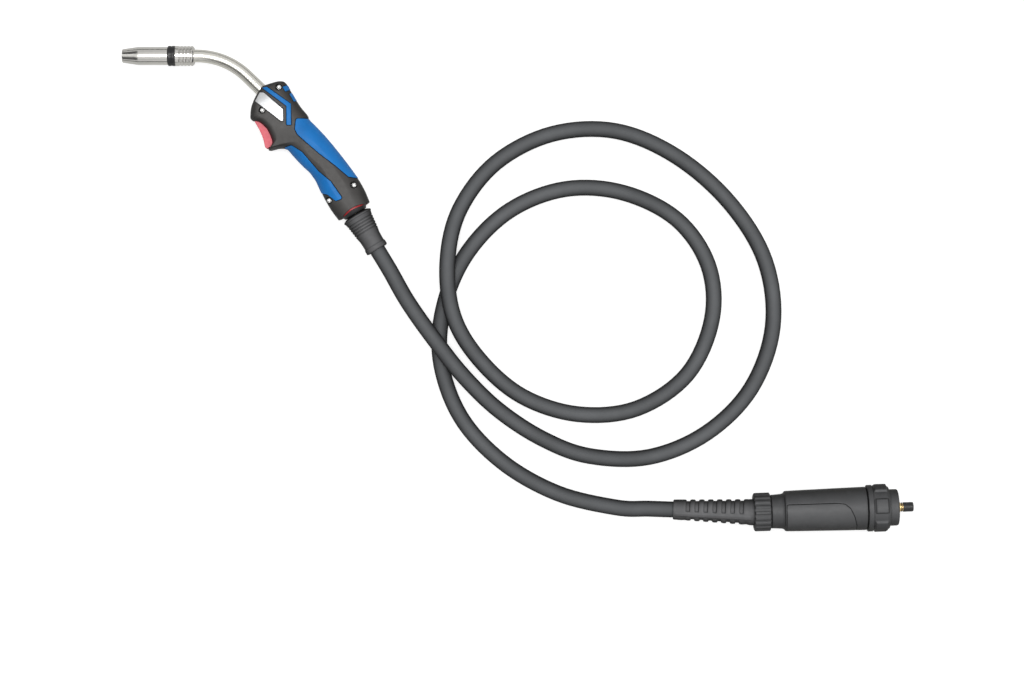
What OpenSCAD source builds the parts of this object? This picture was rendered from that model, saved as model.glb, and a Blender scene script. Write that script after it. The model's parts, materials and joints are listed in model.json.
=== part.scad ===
// MIG/MAG welding torch: gas nozzle, swan neck, handle with trigger, coaxial cable and central connector.
// It lies on one side on the plane Z = 0. The wire leaves the gun along -X, and the connector faces +X.

/* [Gun head] */
// Height of the gun's middle plane, where its two shells part
gun_z = 19; // [18.5:0.1:20]
// Y of the line that the nozzle points along
head_y = 111; // [105:0.5:115]
// X where the neck's bend begins
bend_x = -130; // [-134:0.5:-126]
// Radius of the neck's bend
bend_r = 75.5; // [70:0.5:80]
// Angle that the neck turns through
bend_angle = 44; // [40:1:48]
// Outer radius of the neck
neck_r = 6.7; // [6.5:0.1:6.8]
// Outer radius of the gas nozzle
nozzle_r = 9.35; // [9.2:0.05:10]
// Radius of the nozzle's mouth, outside
nozzle_mouth_r = 7.05; // [7:0.05:8]
// Radius of the contact tip
tip_r = 4; // [3.5:0.1:4]
// Radius of the bore that the wire runs through in the contact tip
wire_bore_r = 0.6; // [0.5:0.05:0.8]
// How far the contact tip stands back inside the nozzle
tip_recess = 5.5; // [5:0.5:7]

/* [Handle] */
// Direction of the handle's long axis, from front to rear, in the XY plane
handle_angle = -55; // [-57:1:-53]
// Wall of the handle shells
shell_wall = 2.6; // [2.4:0.1:3]
// Depth that the grips and plates are let into the shells
inlay_depth = 1.5; // [1.2:0.1:1.6]
// How proud of the shells the soft grips stand
grip_proud = 0.4; // [0:0.1:0.6]
// Half of the trigger's thickness
trigger_half = 7.6; // [6.5:0.1:7.6]
// Radius of the trigger's pin
trigger_pin_r = 2; // [1.5:0.1:2.2]

/* [Swivel] */
// Direction in which the cable leaves the handle, in the XY plane
swivel_angle = -59; // [-61:1:-58]
// X and Y of the swivel ball's centre
swivel_centre = [31.9, -46.5];
// Radius of the swivel ball
ball_r = 12; // [11.8:0.1:12]
// Gap between spherical faces that slide on each other
slip_gap = 0.3; // [0.2:0.05:0.35]

/* [Cable] */
// Radius of the coaxial cable
cable_r = 8.4; // [8:0.1:8.4]
// Height of the cable's centre where it lies on the surface
cable_z = 8.6; // [8.6:0.1:9]

/* [Connector] */
// Centre of the clamping nut's rear face
plug_origin = [453.3, -367.2, 25.5];
// Direction of the connector in the XY plane
plug_angle = 2; // [0:0.5:4]
// Radius of the connector's main housing at its rear
housing_rear_r = 21.1; // [20:0.1:22]
// Radius of the main housing at its front
housing_front_r = 22.6; // [22:0.1:23.5]
// Outer radius of the union nut over its raised pads
nut_r = 25.4; // [24.8:0.1:25.4]
// Radius of the gas and power pin
power_pin_r = 5; // [4.5:0.1:5]
// Length of the bend relief behind the connector
relief_len = 84; // [78:1:88]

/* [Hidden] */
$fn = 64;
// Longer than any cut
big = 100;
// How far a cut starts outside what it cuts
over = 1;
// Gap of a running or a screwed fit, on the radius
fit_gap = 0.05;

// Distances ahead of the bend, along the nozzle's line
collar_rear = 2.5;
collar_front = 22.5;
seat_front = 30;
nozzle_front = 78;
nozzle_cone = 62;
sleeve_front = 42;
tip_rear = 50;
tip_front = nozzle_front - tip_recess;
nozzle_bore_r = 8;
mouth_bore_r = 5.9;
neck_tail = 52;
tip_shank_r = 2.95;
wire_way_r = 1.2;

// ---------- frames ----------

// Local Z runs along the nozzle's line, from the bend towards the mouth
module on_head(distance) {
    translate([bend_x - distance, head_y, gun_z]) rotate([0, -90, 0]) children();
}

// Local X runs along the handle from front to rear, and Z = 0 is its parting plane
module on_handle() {
    translate([0, 0, gun_z]) rotate([0, 0, handle_angle]) children();
}

// Local Z runs along the cable's way out of the handle, from the ball's centre
module on_swivel(distance) {
    translate([swivel_centre[0], swivel_centre[1], gun_z])
        rotate([0, 90, swivel_angle]) translate([0, 0, distance]) children();
}

// Local Z runs along the connector, from the clamping nut's rear face
module on_plug(distance) {
    translate(plug_origin) rotate([0, 90, plug_angle]) translate([0, 0, distance]) children();
}

module tube(outer_r, inner_r, length) {
    difference() {
        cylinder(r = outer_r, h = length);
        translate([0, 0, -over]) cylinder(r = inner_r, h = length + 2 * over);
    }
}

// ---------- gun head ----------

module gas_nozzle() {
    rear_gap = 0.2;
    mouth_len = 4;
    color("silver") on_head(0) rotate_extrude() polygon([
        [nozzle_bore_r, seat_front + rear_gap], [nozzle_r, seat_front + rear_gap],
        [nozzle_r, nozzle_cone], [nozzle_mouth_r, nozzle_front],
        [mouth_bore_r, nozzle_front], [mouth_bore_r, nozzle_front - mouth_len],
        [nozzle_bore_r, nozzle_cone - 2]
    ]);
}

module contact_tip() {
    shank_len = 6;
    nose_len = 4;
    nose_r = 2.6;
    color("darkorange") on_head(0) rotate_extrude() polygon([
        [wire_bore_r, tip_rear - shank_len], [tip_shank_r, tip_rear - shank_len], [tip_shank_r, tip_rear],
        [tip_r, tip_rear], [tip_r, tip_front - nose_len], [nose_r, tip_front], [wire_bore_r, tip_front]
    ]);
}

module tip_holder() {
    floor_len = 2;
    color("goldenrod") on_head(sleeve_front) difference() {
        cylinder(r = tip_r, h = tip_rear - sleeve_front);
        translate([0, 0, floor_len]) cylinder(r = tip_shank_r + fit_gap, h = big);
        translate([0, 0, -over]) cylinder(r = wire_way_r, h = big);
    }
}

module gas_diffuser() {
    hole_count = 6;
    hole_r = 1.1;
    hole_at = 6;
    diffuser_len = 10;
    color("white") on_head(sleeve_front) difference() {
        tube(neck_r, tip_r + 0.1, diffuser_len);
        for (i = [0 : hole_count - 1])
            rotate([0, 90, i * 360 / hole_count]) translate([-hole_at, 0, tip_r - over])
                cylinder(r = hole_r, h = neck_r);
    }
}

module nozzle_insulator() {
    insulator_r = 10.65;
    color("#151515") on_head(collar_front) tube(insulator_r, neck_r + fit_gap, seat_front - collar_front);
}

// A split sleeve: four slits from its front end make it springy
module nozzle_spring() {
    slit_width = 1.2;
    slit_rear = 3;
    color("gray") on_head(seat_front) difference() {
        tube(nozzle_bore_r - 0.1, neck_r + fit_gap, sleeve_front - seat_front - 0.5);
        for (turn = [0, 90]) rotate([0, 0, turn]) translate([-big / 2, -slit_width / 2, slit_rear])
            cube([big, slit_width, big]);
    }
}

module neck_collar() {
    collar_r = 10.5;
    collar_len = collar_front - collar_rear;
    rear_chamfer = 1.5;
    groove_count = 4;
    groove_r = 0.8;
    groove_start = 4;
    groove_pitch = 3.6;
    bore_r = neck_r + fit_gap;
    color("gainsboro") on_head(collar_rear) difference() {
        rotate_extrude() polygon([
            [bore_r, 0], [collar_r - 1.3, 0], [collar_r, rear_chamfer], [collar_r, collar_len],
            [bore_r, collar_len]
        ]);
        for (i = [0 : groove_count - 1]) translate([0, 0, groove_start + i * groove_pitch]) rotate_extrude()
            translate([collar_r, 0]) circle(r = groove_r, $fn = 32);
    }
}

// Places along the neck's centre with the angle turned so far: a straight front, the bend, a straight tail
neck_turns = 10;
function neck_stations(front_len, tail_len) = concat(
    [[bend_x - front_len, head_y, 0]],
    [for (k = [0 : neck_turns]) let (turn = bend_angle * k / neck_turns)
        [bend_x + bend_r * sin(turn), head_y - bend_r + bend_r * cos(turn), turn]],
    [[
        bend_x + bend_r * sin(bend_angle) + tail_len * cos(bend_angle),
        head_y - bend_r + bend_r * cos(bend_angle) - tail_len * sin(bend_angle),
        bend_angle
    ]]);
function neck_ring(place, r, sides) = [for (j = [0 : sides - 1]) let (a = 360 * j / sides) [
    place[0] + r * cos(a) * sin(place[2]), place[1] + r * cos(a) * cos(place[2]), gun_z + r * sin(a)
]];

// A round tube along the neck: every ring of its outside, then every ring of its bore
module neck_sweep(outer_r, inner_r, front_len, tail_len, sides = 24) {
    places = neck_stations(front_len, tail_len);
    m = len(places);
    n = sides;
    bore = m * n;
    tail = (m - 1) * n;
    polyhedron(
        points = concat(
            [for (place = places) each neck_ring(place, outer_r, n)],
            [for (place = places) each neck_ring(place, inner_r, n)]),
        faces = concat(
            [for (i = [0 : m - 2], j = [0 : n - 1]) let (a = i * n, k = (j + 1) % n) each [
                [a + j, a + n + j, a + k], [a + k, a + n + j, a + n + k]]],
            [for (i = [0 : m - 2], j = [0 : n - 1]) let (a = bore + i * n, k = (j + 1) % n) each [
                [a + j, a + k, a + n + j], [a + k, a + n + k, a + n + j]]],
            [for (j = [0 : n - 1]) let (k = (j + 1) % n) each [
                [j, k, bore + j], [k, bore + k, bore + j]]],
            [for (j = [0 : n - 1]) let (k = (j + 1) % n) each [
                [tail + j, bore + tail + j, tail + k], [tail + k, bore + tail + j, bore + tail + k]]]),
        convexity = 8);
}

// The neck's layers, from the outside in: outer and bore radius, reach to the front and to the rear
layer_gap = 0.1;
neck_wall = 1.1;
insulation_wall = 1.4;
conductor_wall = 1.4;
insulation_r = neck_r - neck_wall - layer_gap;
conductor_r = insulation_r - insulation_wall - layer_gap;
liner_r = conductor_r - conductor_wall - layer_gap;
liner_bore_r = 1.1;

module neck_outer_tube() {
    color("lightgray") neck_sweep(neck_r, neck_r - neck_wall, sleeve_front, neck_tail - 6, 32);
}

module neck_insulation() {
    color("saddlebrown")
        neck_sweep(insulation_r, insulation_r - insulation_wall, sleeve_front - 1, neck_tail - 4.5, 16);
}

module neck_inner_tube() {
    color("goldenrod") neck_sweep(conductor_r, conductor_r - conductor_wall, sleeve_front, neck_tail, 16);
}

module neck_liner() {
    color("dimgray") neck_sweep(liner_r, liner_bore_r, sleeve_front, neck_tail, 12);
}

// Local Z runs along the neck's tail, from the end of the bend
module on_tail(distance) {
    end_angle = 90 - bend_angle;
    translate([bend_x + bend_r * cos(end_angle), head_y - bend_r + bend_r * sin(end_angle), gun_z])
        rotate([0, 90, -bend_angle]) translate([0, 0, distance]) children();
}

block_rear = neck_tail + 2;
block_len = 24;
block_r = 9.5;
clamp_screw_r = 1.55;
clamp_screw_places = [6, 14];

module neck_clamp_block() {
    rear_wall = 2;
    step_len = 4;
    color("goldenrod") on_tail(block_rear - block_len) difference() {
        cylinder(r = block_r, h = block_len);
        translate([0, 0, -over]) cylinder(r = neck_r + fit_gap, h = block_len - rear_wall - step_len + over);
        translate([0, 0, -over]) cylinder(r = conductor_r + fit_gap, h = block_len - rear_wall + over);
        for (z = clamp_screw_places) translate([0, 0, z]) rotate([0, 90, 0])
            cylinder(r = clamp_screw_r + fit_gap, h = big);
    }
}

module clamp_screws() {
    screw_len = 2.4;
    socket_depth = 1.2;
    socket_r = 0.8;
    color("dimgray") on_tail(block_rear - block_len) for (z = clamp_screw_places)
        translate([neck_r + 0.3, 0, z]) rotate([0, 90, 0]) difference() {
            cylinder(r = clamp_screw_r, h = screw_len);
            translate([0, 0, screw_len - socket_depth]) cylinder(r = socket_r, h = screw_len, $fn = 6);
        }
}

// The current lead, liner and hoses from the clamp block to the swivel, as one round run
module inner_lead() {
    lead_r = 5.5;
    lead_bend_r = 326;
    lead_turn = 18;
    tail_end = block_rear + 0.3;
    end_angle = 90 - bend_angle;
    start_x = bend_x + bend_r * cos(end_angle) + tail_end * cos(bend_angle);
    start_y = head_y - bend_r + bend_r * sin(end_angle) - tail_end * sin(bend_angle);
    color("orangered")
        translate([start_x - lead_bend_r * cos(end_angle), start_y - lead_bend_r * sin(end_angle), gun_z])
            rotate([0, 0, end_angle - lead_turn]) rotate_extrude(angle = lead_turn)
                translate([lead_bend_r, 0]) circle(r = lead_r);
}

// ---------- handle shells ----------

// The handle's outline on the parting plane, as distance along the handle and distance across it
upper_edge = [
    [-99, -2], [-97, 5], [-94, 13], [-90, 17], [-86, 17.5], [-78, 16.7], [-60, 15.7], [-47, 16.6],
    [-43, 15.2], [-35, 16.5], [-18, 19], [0, 20.5], [20, 21.5], [37, 21.8], [50, 20.6], [57, 19.2],
    [62.8, 17.8]
];
lower_edge = [
    [-99, -8], [-96, -15], [-91.5, -22.8], [-88, -27.4], [-83.5, -31.4], [-78.3, -34.6], [-73.5, -32.5],
    [-70.5, -29.8], [-65, -28], [-59.5, -27.2], [-53.5, -28], [-48, -29.3], [-44, -31.4], [-42.3, -35.5],
    [-41.3, -38], [-39.6, -36.5], [-37.6, -30.7], [-33, -23.5], [-30, -20.9], [-22, -20], [-14, -19],
    [-3, -17], [4, -15.6], [11, -15.5], [23, -17.3], [36, -19.3], [51, -20.3], [62.8, -19.9]
];
// Half of the handle's thickness along it
half_thickness = [
    [-99, 8.6], [-97, 11.5], [-92, 15], [-84, 17], [-70, 17.8], [-50, 17.8], [-30, 18.6], [-10, 19.5],
    [25, 19.5], [45, 19.2], [62.8, 18.9]
];
// Width of the rounding along the lower and the upper edge
lower_round = [
    [-99, 10], [-88, 12], [-78, 10], [-70, 8], [-46, 8], [-41, 7], [-30, 14], [-15, 17], [62.8, 19]
];
upper_round = [[-99, 10], [-90, 14], [-60, 16], [-40, 18], [62.8, 19]];
stations = [
    -99, -96, -91.5, -87, -83, -78.3, -73.5, -70.5, -60, -48, -44, -42, -41.3, -37.6, -30, -22, -8, 8,
    24, 38, 51, 62.8
];
handle_front = -99;
handle_rear = 62.8;
roundness = 2.2;
edge_steps = 4;
side_flat = gun_z;
// The rear end leans from the handle's axis to the swivel's
rear_lean = tan(handle_angle - swivel_angle);

function rounding(gap, width) = pow(1 - pow(1 - min(gap / width, 1), roundness), 1 / roundness);
function lean(s) = rear_lean * min(max((s - 30) / 32, 0), 1);
function skin_point(s, v, z) = [s - lean(s) * -v, v, z];

// Half of the thickness at one place across the handle
function skin_z(s, v, grow) =
    let (low = lookup(s, lower_edge) - grow)
    let (high = lookup(s, upper_edge) + grow)
    let (low_w = min(lookup(s, lower_round) + grow, 0.49 * (high - low)))
    let (high_w = min(lookup(s, upper_round) + grow, 0.49 * (high - low)))
    (lookup(s, half_thickness) + grow) * rounding(v - low, low_w) * rounding(high - v, high_w);

// One closed cross-section, moved out by grow
function section(s, grow) =
    let (low = lookup(s, lower_edge) - grow)
    let (high = lookup(s, upper_edge) + grow)
    let (low_w = min(lookup(s, lower_round) + grow, 0.49 * (high - low)))
    let (high_w = min(lookup(s, upper_round) + grow, 0.49 * (high - low)))
    let (across = concat(
        [for (j = [0 : edge_steps]) low + low_w * (1 - cos(90 * j / edge_steps))],
        [for (j = [edge_steps : -1 : 0]) high - high_w * (1 - cos(90 * j / edge_steps))]))
    let (last = len(across) - 1)
    concat(
        [for (j = [0 : last]) skin_point(s, across[j], j == 0 || j == last ? 0 : skin_z(s, across[j], grow))],
        [for (j = [last - 1 : -1 : 1]) skin_point(s, across[j], -skin_z(s, across[j], grow))]);

// The handle's outer form, moved out by grow, between two places along it
module skin(grow, first = handle_front, last = handle_rear) {
    along = concat([first], [for (s = stations) if (s > first && s < last) s], [last]);
    rings = [for (s = along) section(s, grow)];
    n = len(rings[0]);
    m = len(rings);
    polyhedron(
        points = [for (ring = rings) each ring],
        faces = concat(
            [[for (j = [n - 1 : -1 : 0]) j]],
            [for (i = [0 : m - 2], j = [0 : n - 1]) each [
                [i * n + j, i * n + (j + 1) % n, (i + 1) * n + j],
                [i * n + (j + 1) % n, (i + 1) * n + (j + 1) % n, (i + 1) * n + j]]],
            [[for (j = [0 : n - 1]) (m - 1) * n + j]]),
        convexity = 8);
}

back_grip_outline = [
    [-50.5, 5], [-42, -2.5], [-36, -3.4], [-22, -0.2], [-6.5, 3.8], [14, 10.5], [31, 15], [38.5, 24],
    [38, 30], [-40, 30], [-43.5, 15.6]
];
front_grip_outline = [
    [-33, -22], [-30.5, -15], [-18, -9.8], [8.7, -7.2], [24, -2.8], [46.4, -2.8], [44, -10.6],
    [33.6, -13.7], [26, -20], [24, -30], [-30, -30]
];
label_outline = [[-95, -10.5], [-92, -6.9], [-66, -0.2], [-55.6, -7.2], [-57.1, -9.6], [-90, -19.8]];
stripe_width = 5.2;
stripe_path = [[-97, -3.6], [-66.5, 7.2], [-49, -5]];
edge_patches = [
    [[-86, 12.2], [-80, 11.8], [-79.5, 20], [-85, 20]],
    [[-76.5, 14], [-66.5, 13], [-66.5, 20], [-76, 20]]
];

module thick_line(from, to, width) {
    run = to - from;
    translate(from) rotate([0, 0, atan2(run[1], run[0])]) translate([0, -width / 2])
        square([norm(run), width]);
}

module stripe_shape() {
    thick_line(stripe_path[0], stripe_path[1], stripe_width);
    thick_line(stripe_path[1], stripe_path[2], stripe_width);
    for (patch = edge_patches) polygon(patch);
}

module column(height = 2 * big) {
    linear_extrude(height = height, center = true) children();
}

module inlay_columns() {
    column() polygon(back_grip_outline);
    column() polygon(front_grip_outline);
    column() polygon(label_outline);
    column() stripe_shape();
}

module half_space(side) {
    translate([-2 * big, -big, side > 0 ? 0 : -big]) cube([4 * big, 2 * big, big]);
}

// Screw places: along the handle, across it, and the height of the head's top over the parting plane
screw_places = [[-87.9, 9, 12], [-77.9, -18.8, 14.5], [40.8, 14.6, 12], [39, -15.8, 8.5]];
screw_head_r = 2.7;
screw_recess_r = 3.5;
screw_shank_r = 1.4;
screw_head_len = 2;
screw_boss_r = 4.4;
pin_place = [-74, -27];
pin_len = 26;
pin_boss_r = 5;
slot_half = trigger_half + 0.6;
slot_outline = [
    [-77, -30.5], [-74.4, -34], [-72, -48], [-43, -48], [-41.2, -38], [-41, -29], [-43, -20], [-60, -19.5],
    [-76, -21.5]
];
// The rear end's scoop that shows the swivel's seal
scoop_r = 32.9;
scoop_centre = 36.3;

module swivel_in_handle(distance) {
    lean_angle = swivel_angle - handle_angle;
    centre = [
        swivel_centre[0] * cos(handle_angle) + swivel_centre[1] * sin(handle_angle),
        swivel_centre[1] * cos(handle_angle) - swivel_centre[0] * sin(handle_angle)
    ];
    translate([centre[0], centre[1], 0]) rotate([0, 0, lean_angle]) translate([distance, 0, 0]) children();
}

module neck_in_handle() {
    rotate([0, 0, -handle_angle]) translate([0, 0, -gun_z]) on_tail(0) children();
}

module shell_bosses(side) {
    for (place = screw_places) translate([place[0], place[1], side > 0 ? 0 : -big])
        cylinder(r = screw_boss_r, h = big, $fn = 24);
    for (z = [slot_half, -slot_half - big])
        translate([pin_place[0], pin_place[1], z]) cylinder(r = pin_boss_r, h = big, $fn = 24);
    // Two saddles that hold the clamp block
    saddle_len = 3;
    for (z = [block_rear - block_len + 2, block_rear - 2 * saddle_len])
        neck_in_handle() translate([0, 0, z]) cylinder(r = 22, h = saddle_len, $fn = 24);
}

module shell_cuts() {
    // Neck entry and clamp block
    seat_gap = 0.1;
    lead_room = 40;
    neck_in_handle() cylinder(r = neck_r + seat_gap, h = neck_tail, $fn = 48);
    neck_in_handle() translate([0, 0, block_rear - block_len - seat_gap])
        cylinder(r = block_r + seat_gap, h = block_len + lead_room, $fn = 48);
    // Trigger slot and pin
    translate([0, 0, -slot_half]) linear_extrude(height = 2 * slot_half) union() {
        polygon(slot_outline);
        translate(pin_place) circle(r = 4.8, $fn = 32);
    }
    translate([pin_place[0], pin_place[1], 0])
        cylinder(r = trigger_pin_r + fit_gap, h = pin_len + 2 * seat_gap, center = true, $fn = 32);
    // Screws
    for (place = screw_places) {
        translate([place[0], place[1], place[2] - screw_head_len])
            cylinder(r = screw_recess_r, h = big, $fn = 32);
        translate([place[0], place[1], -place[2] + 1])
            cylinder(r = screw_shank_r + fit_gap, h = big, $fn = 24);
    }
    // Seat of the swivel's seal, and the scoop in the rear end
    swivel_in_handle(seal_front - over) rotate([0, 90, 0])
        cylinder(r = seal_r + seat_gap, h = big, $fn = 96);
    swivel_in_handle(scoop_centre) cylinder(r = scoop_r, h = big, center = true, $fn = 96);
    // Room for the switch
    translate([switch_low[0], switch_low[1], -switch_size[2] / 2] - 0.2 * [1, 1, 1])
        cube(switch_size + 0.4 * [1, 1, 1]);
}

module shell_half(side) {
    front_wall = 3.5;
    boss_inset = 1.8;
    color("#2b2c2e") on_handle() resize([0, 0, 0]) intersection() {
        half_space(side);
        cube([4 * big, 4 * big, 2 * side_flat], center = true);
        difference() {
            union() {
                difference() {
                    skin(0);
                    skin(-shell_wall, handle_front + front_wall, handle_rear + 2);
                }
                intersection() {
                    skin(-boss_inset);
                    shell_bosses(side);
                }
            }
            difference() {
                inlay_columns();
                skin(-inlay_depth, handle_front, handle_rear + 2);
            }
            shell_cuts();
        }
    }
}

// A plate or grip let into the shell, with a small gap under it and round it
module inlay(side, proud) {
    under_gap = 0.05;
    edge_gap = 0.1;
    on_handle() resize([0, 0, 0]) intersection() {
        half_space(side);
        difference() {
            skin(proud);
            skin(-inlay_depth + under_gap, handle_front, handle_rear + 2);
        }
        cube([4 * big, 4 * big, 2 * side_flat], center = true);
        column() offset(delta = -edge_gap) children();
    }
}

module handle_shell_top() {
    shell_half(1);
}

module handle_shell_bottom() {
    shell_half(-1);
}

module grip_back(side) {
    color("#1f6fc4") inlay(side, grip_proud) polygon(back_grip_outline);
}

module grip_front(side) {
    color("#1f6fc4") inlay(side, grip_proud) polygon(front_grip_outline);
}

module accent_stripe(side) {
    color("#1f6fc4") inlay(side, 0.2) stripe_shape();
}

module label_plate(side) {
    color("#d4d6d8") inlay(side, 0.1) polygon(label_outline);
}

module handle_screws() {
    seat_gap = 0.05;
    socket_r = 1.3;
    socket_depth = 1.2;
    tip_inset = 1.5;
    color("silver") on_handle() for (place = screw_places) translate([place[0], place[1], 0]) difference() {
        union() {
            translate([0, 0, place[2] - screw_head_len + seat_gap])
                cylinder(r = screw_head_r, h = screw_head_len - seat_gap);
            translate([0, 0, tip_inset - place[2]])
                cylinder(r = screw_shank_r, h = 2 * place[2] - tip_inset - 1);
        }
        translate([0, 0, place[2] - socket_depth]) cylinder(r = socket_r, h = 2, $fn = 6);
    }
}

// ---------- trigger and switch ----------

trigger_outline = [
    [-73, -32.6], [-64, -33.3], [-55.7, -34.9], [-50.4, -36.7], [-45.5, -38.9], [-43.6, -38.5],
    [-42.6, -35.5], [-42.6, -30], [-46, -26.5], [-52, -24.5], [-60, -24], [-70, -23], [-74, -22.8]
];

module trigger() {
    eye_r = 4.2;
    spring_room_r = 5;
    spring_room = 5;
    color("#e8506a") on_handle() difference() {
        linear_extrude(height = 2 * trigger_half, center = true) union() {
            polygon(trigger_outline);
            translate(pin_place) circle(r = eye_r);
        }
        translate([pin_place[0], pin_place[1], 0]) {
            cylinder(r = trigger_pin_r + fit_gap, h = big, center = true);
            cylinder(r = spring_room_r, h = spring_room, center = true);
        }
    }
}

module trigger_pin() {
    color("silver") on_handle() translate([pin_place[0], pin_place[1], 0])
        cylinder(r = trigger_pin_r, h = pin_len, center = true);
}

module trigger_spring() {
    spring_r = 3.6;
    spring_width = 4.4;
    color("gray") on_handle() translate([pin_place[0], pin_place[1], -spring_width / 2])
        tube(spring_r, trigger_pin_r + 0.4, spring_width);
}

switch_low = [-63, -18.5];
switch_size = [18, 9.5, 7];
plunger_u = -57;
plunger_r = 1.6;

module microswitch() {
    plunger_bore = 7;
    color("#202020") on_handle() difference() {
        translate([switch_low[0], switch_low[1], -switch_size[2] / 2]) cube(switch_size);
        translate([plunger_u, switch_low[1] - over, 0]) rotate([-90, 0, 0])
            cylinder(r = plunger_r + fit_gap, h = plunger_bore);
    }
}

module switch_plunger() {
    plunger_low = -23.4;
    plunger_len = 8.4;
    color("crimson") on_handle() translate([plunger_u, plunger_low, 0]) rotate([-90, 0, 0])
        cylinder(r = plunger_r, h = plunger_len);
}

module switch_leads() {
    lead_r = 0.9;
    lead_len = 80;
    lead_v = -10.5;
    color("gold") on_handle() for (z = [-2, 2])
        translate([switch_low[0] + switch_size[0] + 0.1, lead_v, z]) rotate([0, 90, 0])
            cylinder(r = lead_r, h = lead_len);
}

// ---------- swivel ----------

ring_in_r = ball_r + slip_gap;
ring_wall = 1.9;
ring_out_r = ring_in_r + ring_wall;
socket_in_r = ring_out_r + slip_gap;
socket_out_r = 15.9;
dome_r = 15.6;
seal_r = 16.65;
seal_front = -11;
seal_len = 17;
core_r = 6.2;

// A ring between two spheres, cut square at both ends
module sphere_ring(inner_r, outer_r, front, rear) {
    difference() {
        intersection() {
            sphere(r = outer_r);
            translate([0, 0, front]) cylinder(r = big, h = rear - front);
        }
        sphere(r = inner_r);
    }
}

module swivel_ball() {
    flat_to_flat = 20.4;
    color("#303030") on_swivel(0) difference() {
        intersection() {
            sphere(r = ball_r);
            cylinder(r = big, h = flat_to_flat, center = true);
        }
        cylinder(r = core_r + fit_gap, h = big, center = true);
    }
}

module slip_ring() {
    ring_front = -7;
    ring_rear = 4;
    color("ivory") on_swivel(0) sphere_ring(ring_in_r, ring_out_r, ring_front, ring_rear);
}

// A cup behind the ball, with a dome that closes most of the gap to the cable's boot
module ball_socket() {
    socket_front = -12;
    socket_rear = 3.5;
    dome_rear = 9.5;
    color("#252525") on_swivel(0) difference() {
        union() {
            translate([0, 0, socket_front]) cylinder(r = socket_out_r, h = socket_rear - socket_front);
            intersection() {
                sphere(r = dome_r);
                cylinder(r = socket_out_r, h = dome_rear);
            }
        }
        sphere(r = socket_in_r);
    }
}

module swivel_seal() {
    band_width = 1.5;
    color("red") on_swivel(0) difference() {
        translate([0, 0, seal_front]) tube(seal_r, socket_out_r + fit_gap, seal_len);
        // The seal's rear edge follows the shells' scoop, one band's width behind it
        translate([0, 0, scoop_centre + band_width]) rotate([0, 90, 0])
            cylinder(r = scoop_r, h = big, center = true);
    }
}

// ---------- cable ----------

boot_front = 12.3;
boot_lip = 10.4;
boot_rear = 53.3;

module cable_boot() {
    core_rear = 31;
    rib_count = 4;
    rib_start = 20;
    rib_pitch = 3.2;
    groove_r = 0.7;
    color("#2f3032") on_swivel(0) difference() {
        rotate_extrude() polygon([
            [core_r + fit_gap, boot_lip], [12.4, boot_lip], [16.1, boot_front], [15.7, 13.6], [13.4, 21.5],
            [12.3, 28.5], [11.4, 37], [11.3, 47.5], [12.1, 50], [12.1, boot_rear], [0, boot_rear],
            [0, core_rear], [core_r + fit_gap, core_rear]
        ]);
        for (i = [0 : rib_count - 1]) translate([0, 0, rib_start + i * rib_pitch]) rotate_extrude()
            translate([14.1 - 0.35 * i, 0]) circle(r = groove_r, $fn = 32);
        // The boot's mouth swings clear of the socket's dome
        sphere(r = dome_r + 0.5);
    }
}

module boot_core() {
    core_front = -10.1;
    core_len = 41;
    core_bore_r = 4;
    color("goldenrod") on_swivel(core_front) tube(core_r, core_bore_r, core_len);
}

boot_dir = [cos(swivel_angle), sin(swivel_angle), 0];
boot_end = [swivel_centre[0], swivel_centre[1], gun_z] + boot_rear * boot_dir;
relief_yaw = -1.6;
relief_pitch = 6;
relief_dir = [cos(relief_pitch) * cos(relief_yaw), cos(relief_pitch) * sin(relief_yaw), sin(relief_pitch)];
relief_end = plug_origin - relief_len * relief_dir;
end_run = 26;
// Places along the cable's centre, from the gun to the connector
cable_route = concat(
    [boot_end, boot_end + end_run * boot_dir],
    [
        [92, -148, 22], [119, -186, 26], [150, -225, 24], [187, -261, 15], [233, -291, 9.4],
        [282, -309, cable_z], [345, -310, cable_z], [405, -285, cable_z], [452, -238, cable_z],
        [475, -173, cable_z], [467, -104, cable_z], [430, -43, cable_z], [374, 6, cable_z],
        [310, 33, cable_z], [243, 30, cable_z], [184, 0, 9.4], [146, -49, 15], [133, -104, 25],
        [139, -161, 26], [166, -207, 14], [211, -246, 9.2], [270, -265, cable_z], [332, -259, cable_z],
        [385, -223, cable_z], [411, -165, cable_z], [407, -108, cable_z], [374, -60, cable_z],
        [318, -32, cable_z], [257, -28, cable_z], [199, -50, cable_z], [155, -93, cable_z],
        [130, -147, cable_z], [125, -206, cable_z], [146, -267, cable_z], [190, -315, cable_z],
        [248, -348, 8.8], [310, -363, 11]
    ],
    [relief_end - end_run * relief_dir, relief_end]
);

// Smooth curve through the places: each span is a cubic set by its two neighbours
function route_place(i) =
    i < 0 ? 2 * cable_route[0] - cable_route[1] :
    i >= len(cable_route) ? 2 * cable_route[len(cable_route) - 1] - cable_route[len(cable_route) - 2] :
    cable_route[i];
function span(i, t) =
    let (a = route_place(i - 1), b = route_place(i), c = route_place(i + 1), d = route_place(i + 2))
    0.5 * (2 * b + (c - a) * t + (2 * a - 5 * b + 4 * c - d) * t * t + (3 * b - a - 3 * c + d) * t * t * t);
function route_curve(steps) = concat(
    [for (i = [0 : len(cable_route) - 2], k = [0 : steps - 1]) span(i, k / steps)],
    [cable_route[len(cable_route) - 1]]);
function unit(v) = v / norm(v);
function run_length(p) = sum_of([for (i = [1 : len(p) - 1]) norm(p[i] - p[i - 1])], 0);
function sum_of(list, i) = i >= len(list) ? 0 : list[i] + sum_of(list, i + 1);

cable_sides = 12;
cable_rings = route_curve(2);

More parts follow.
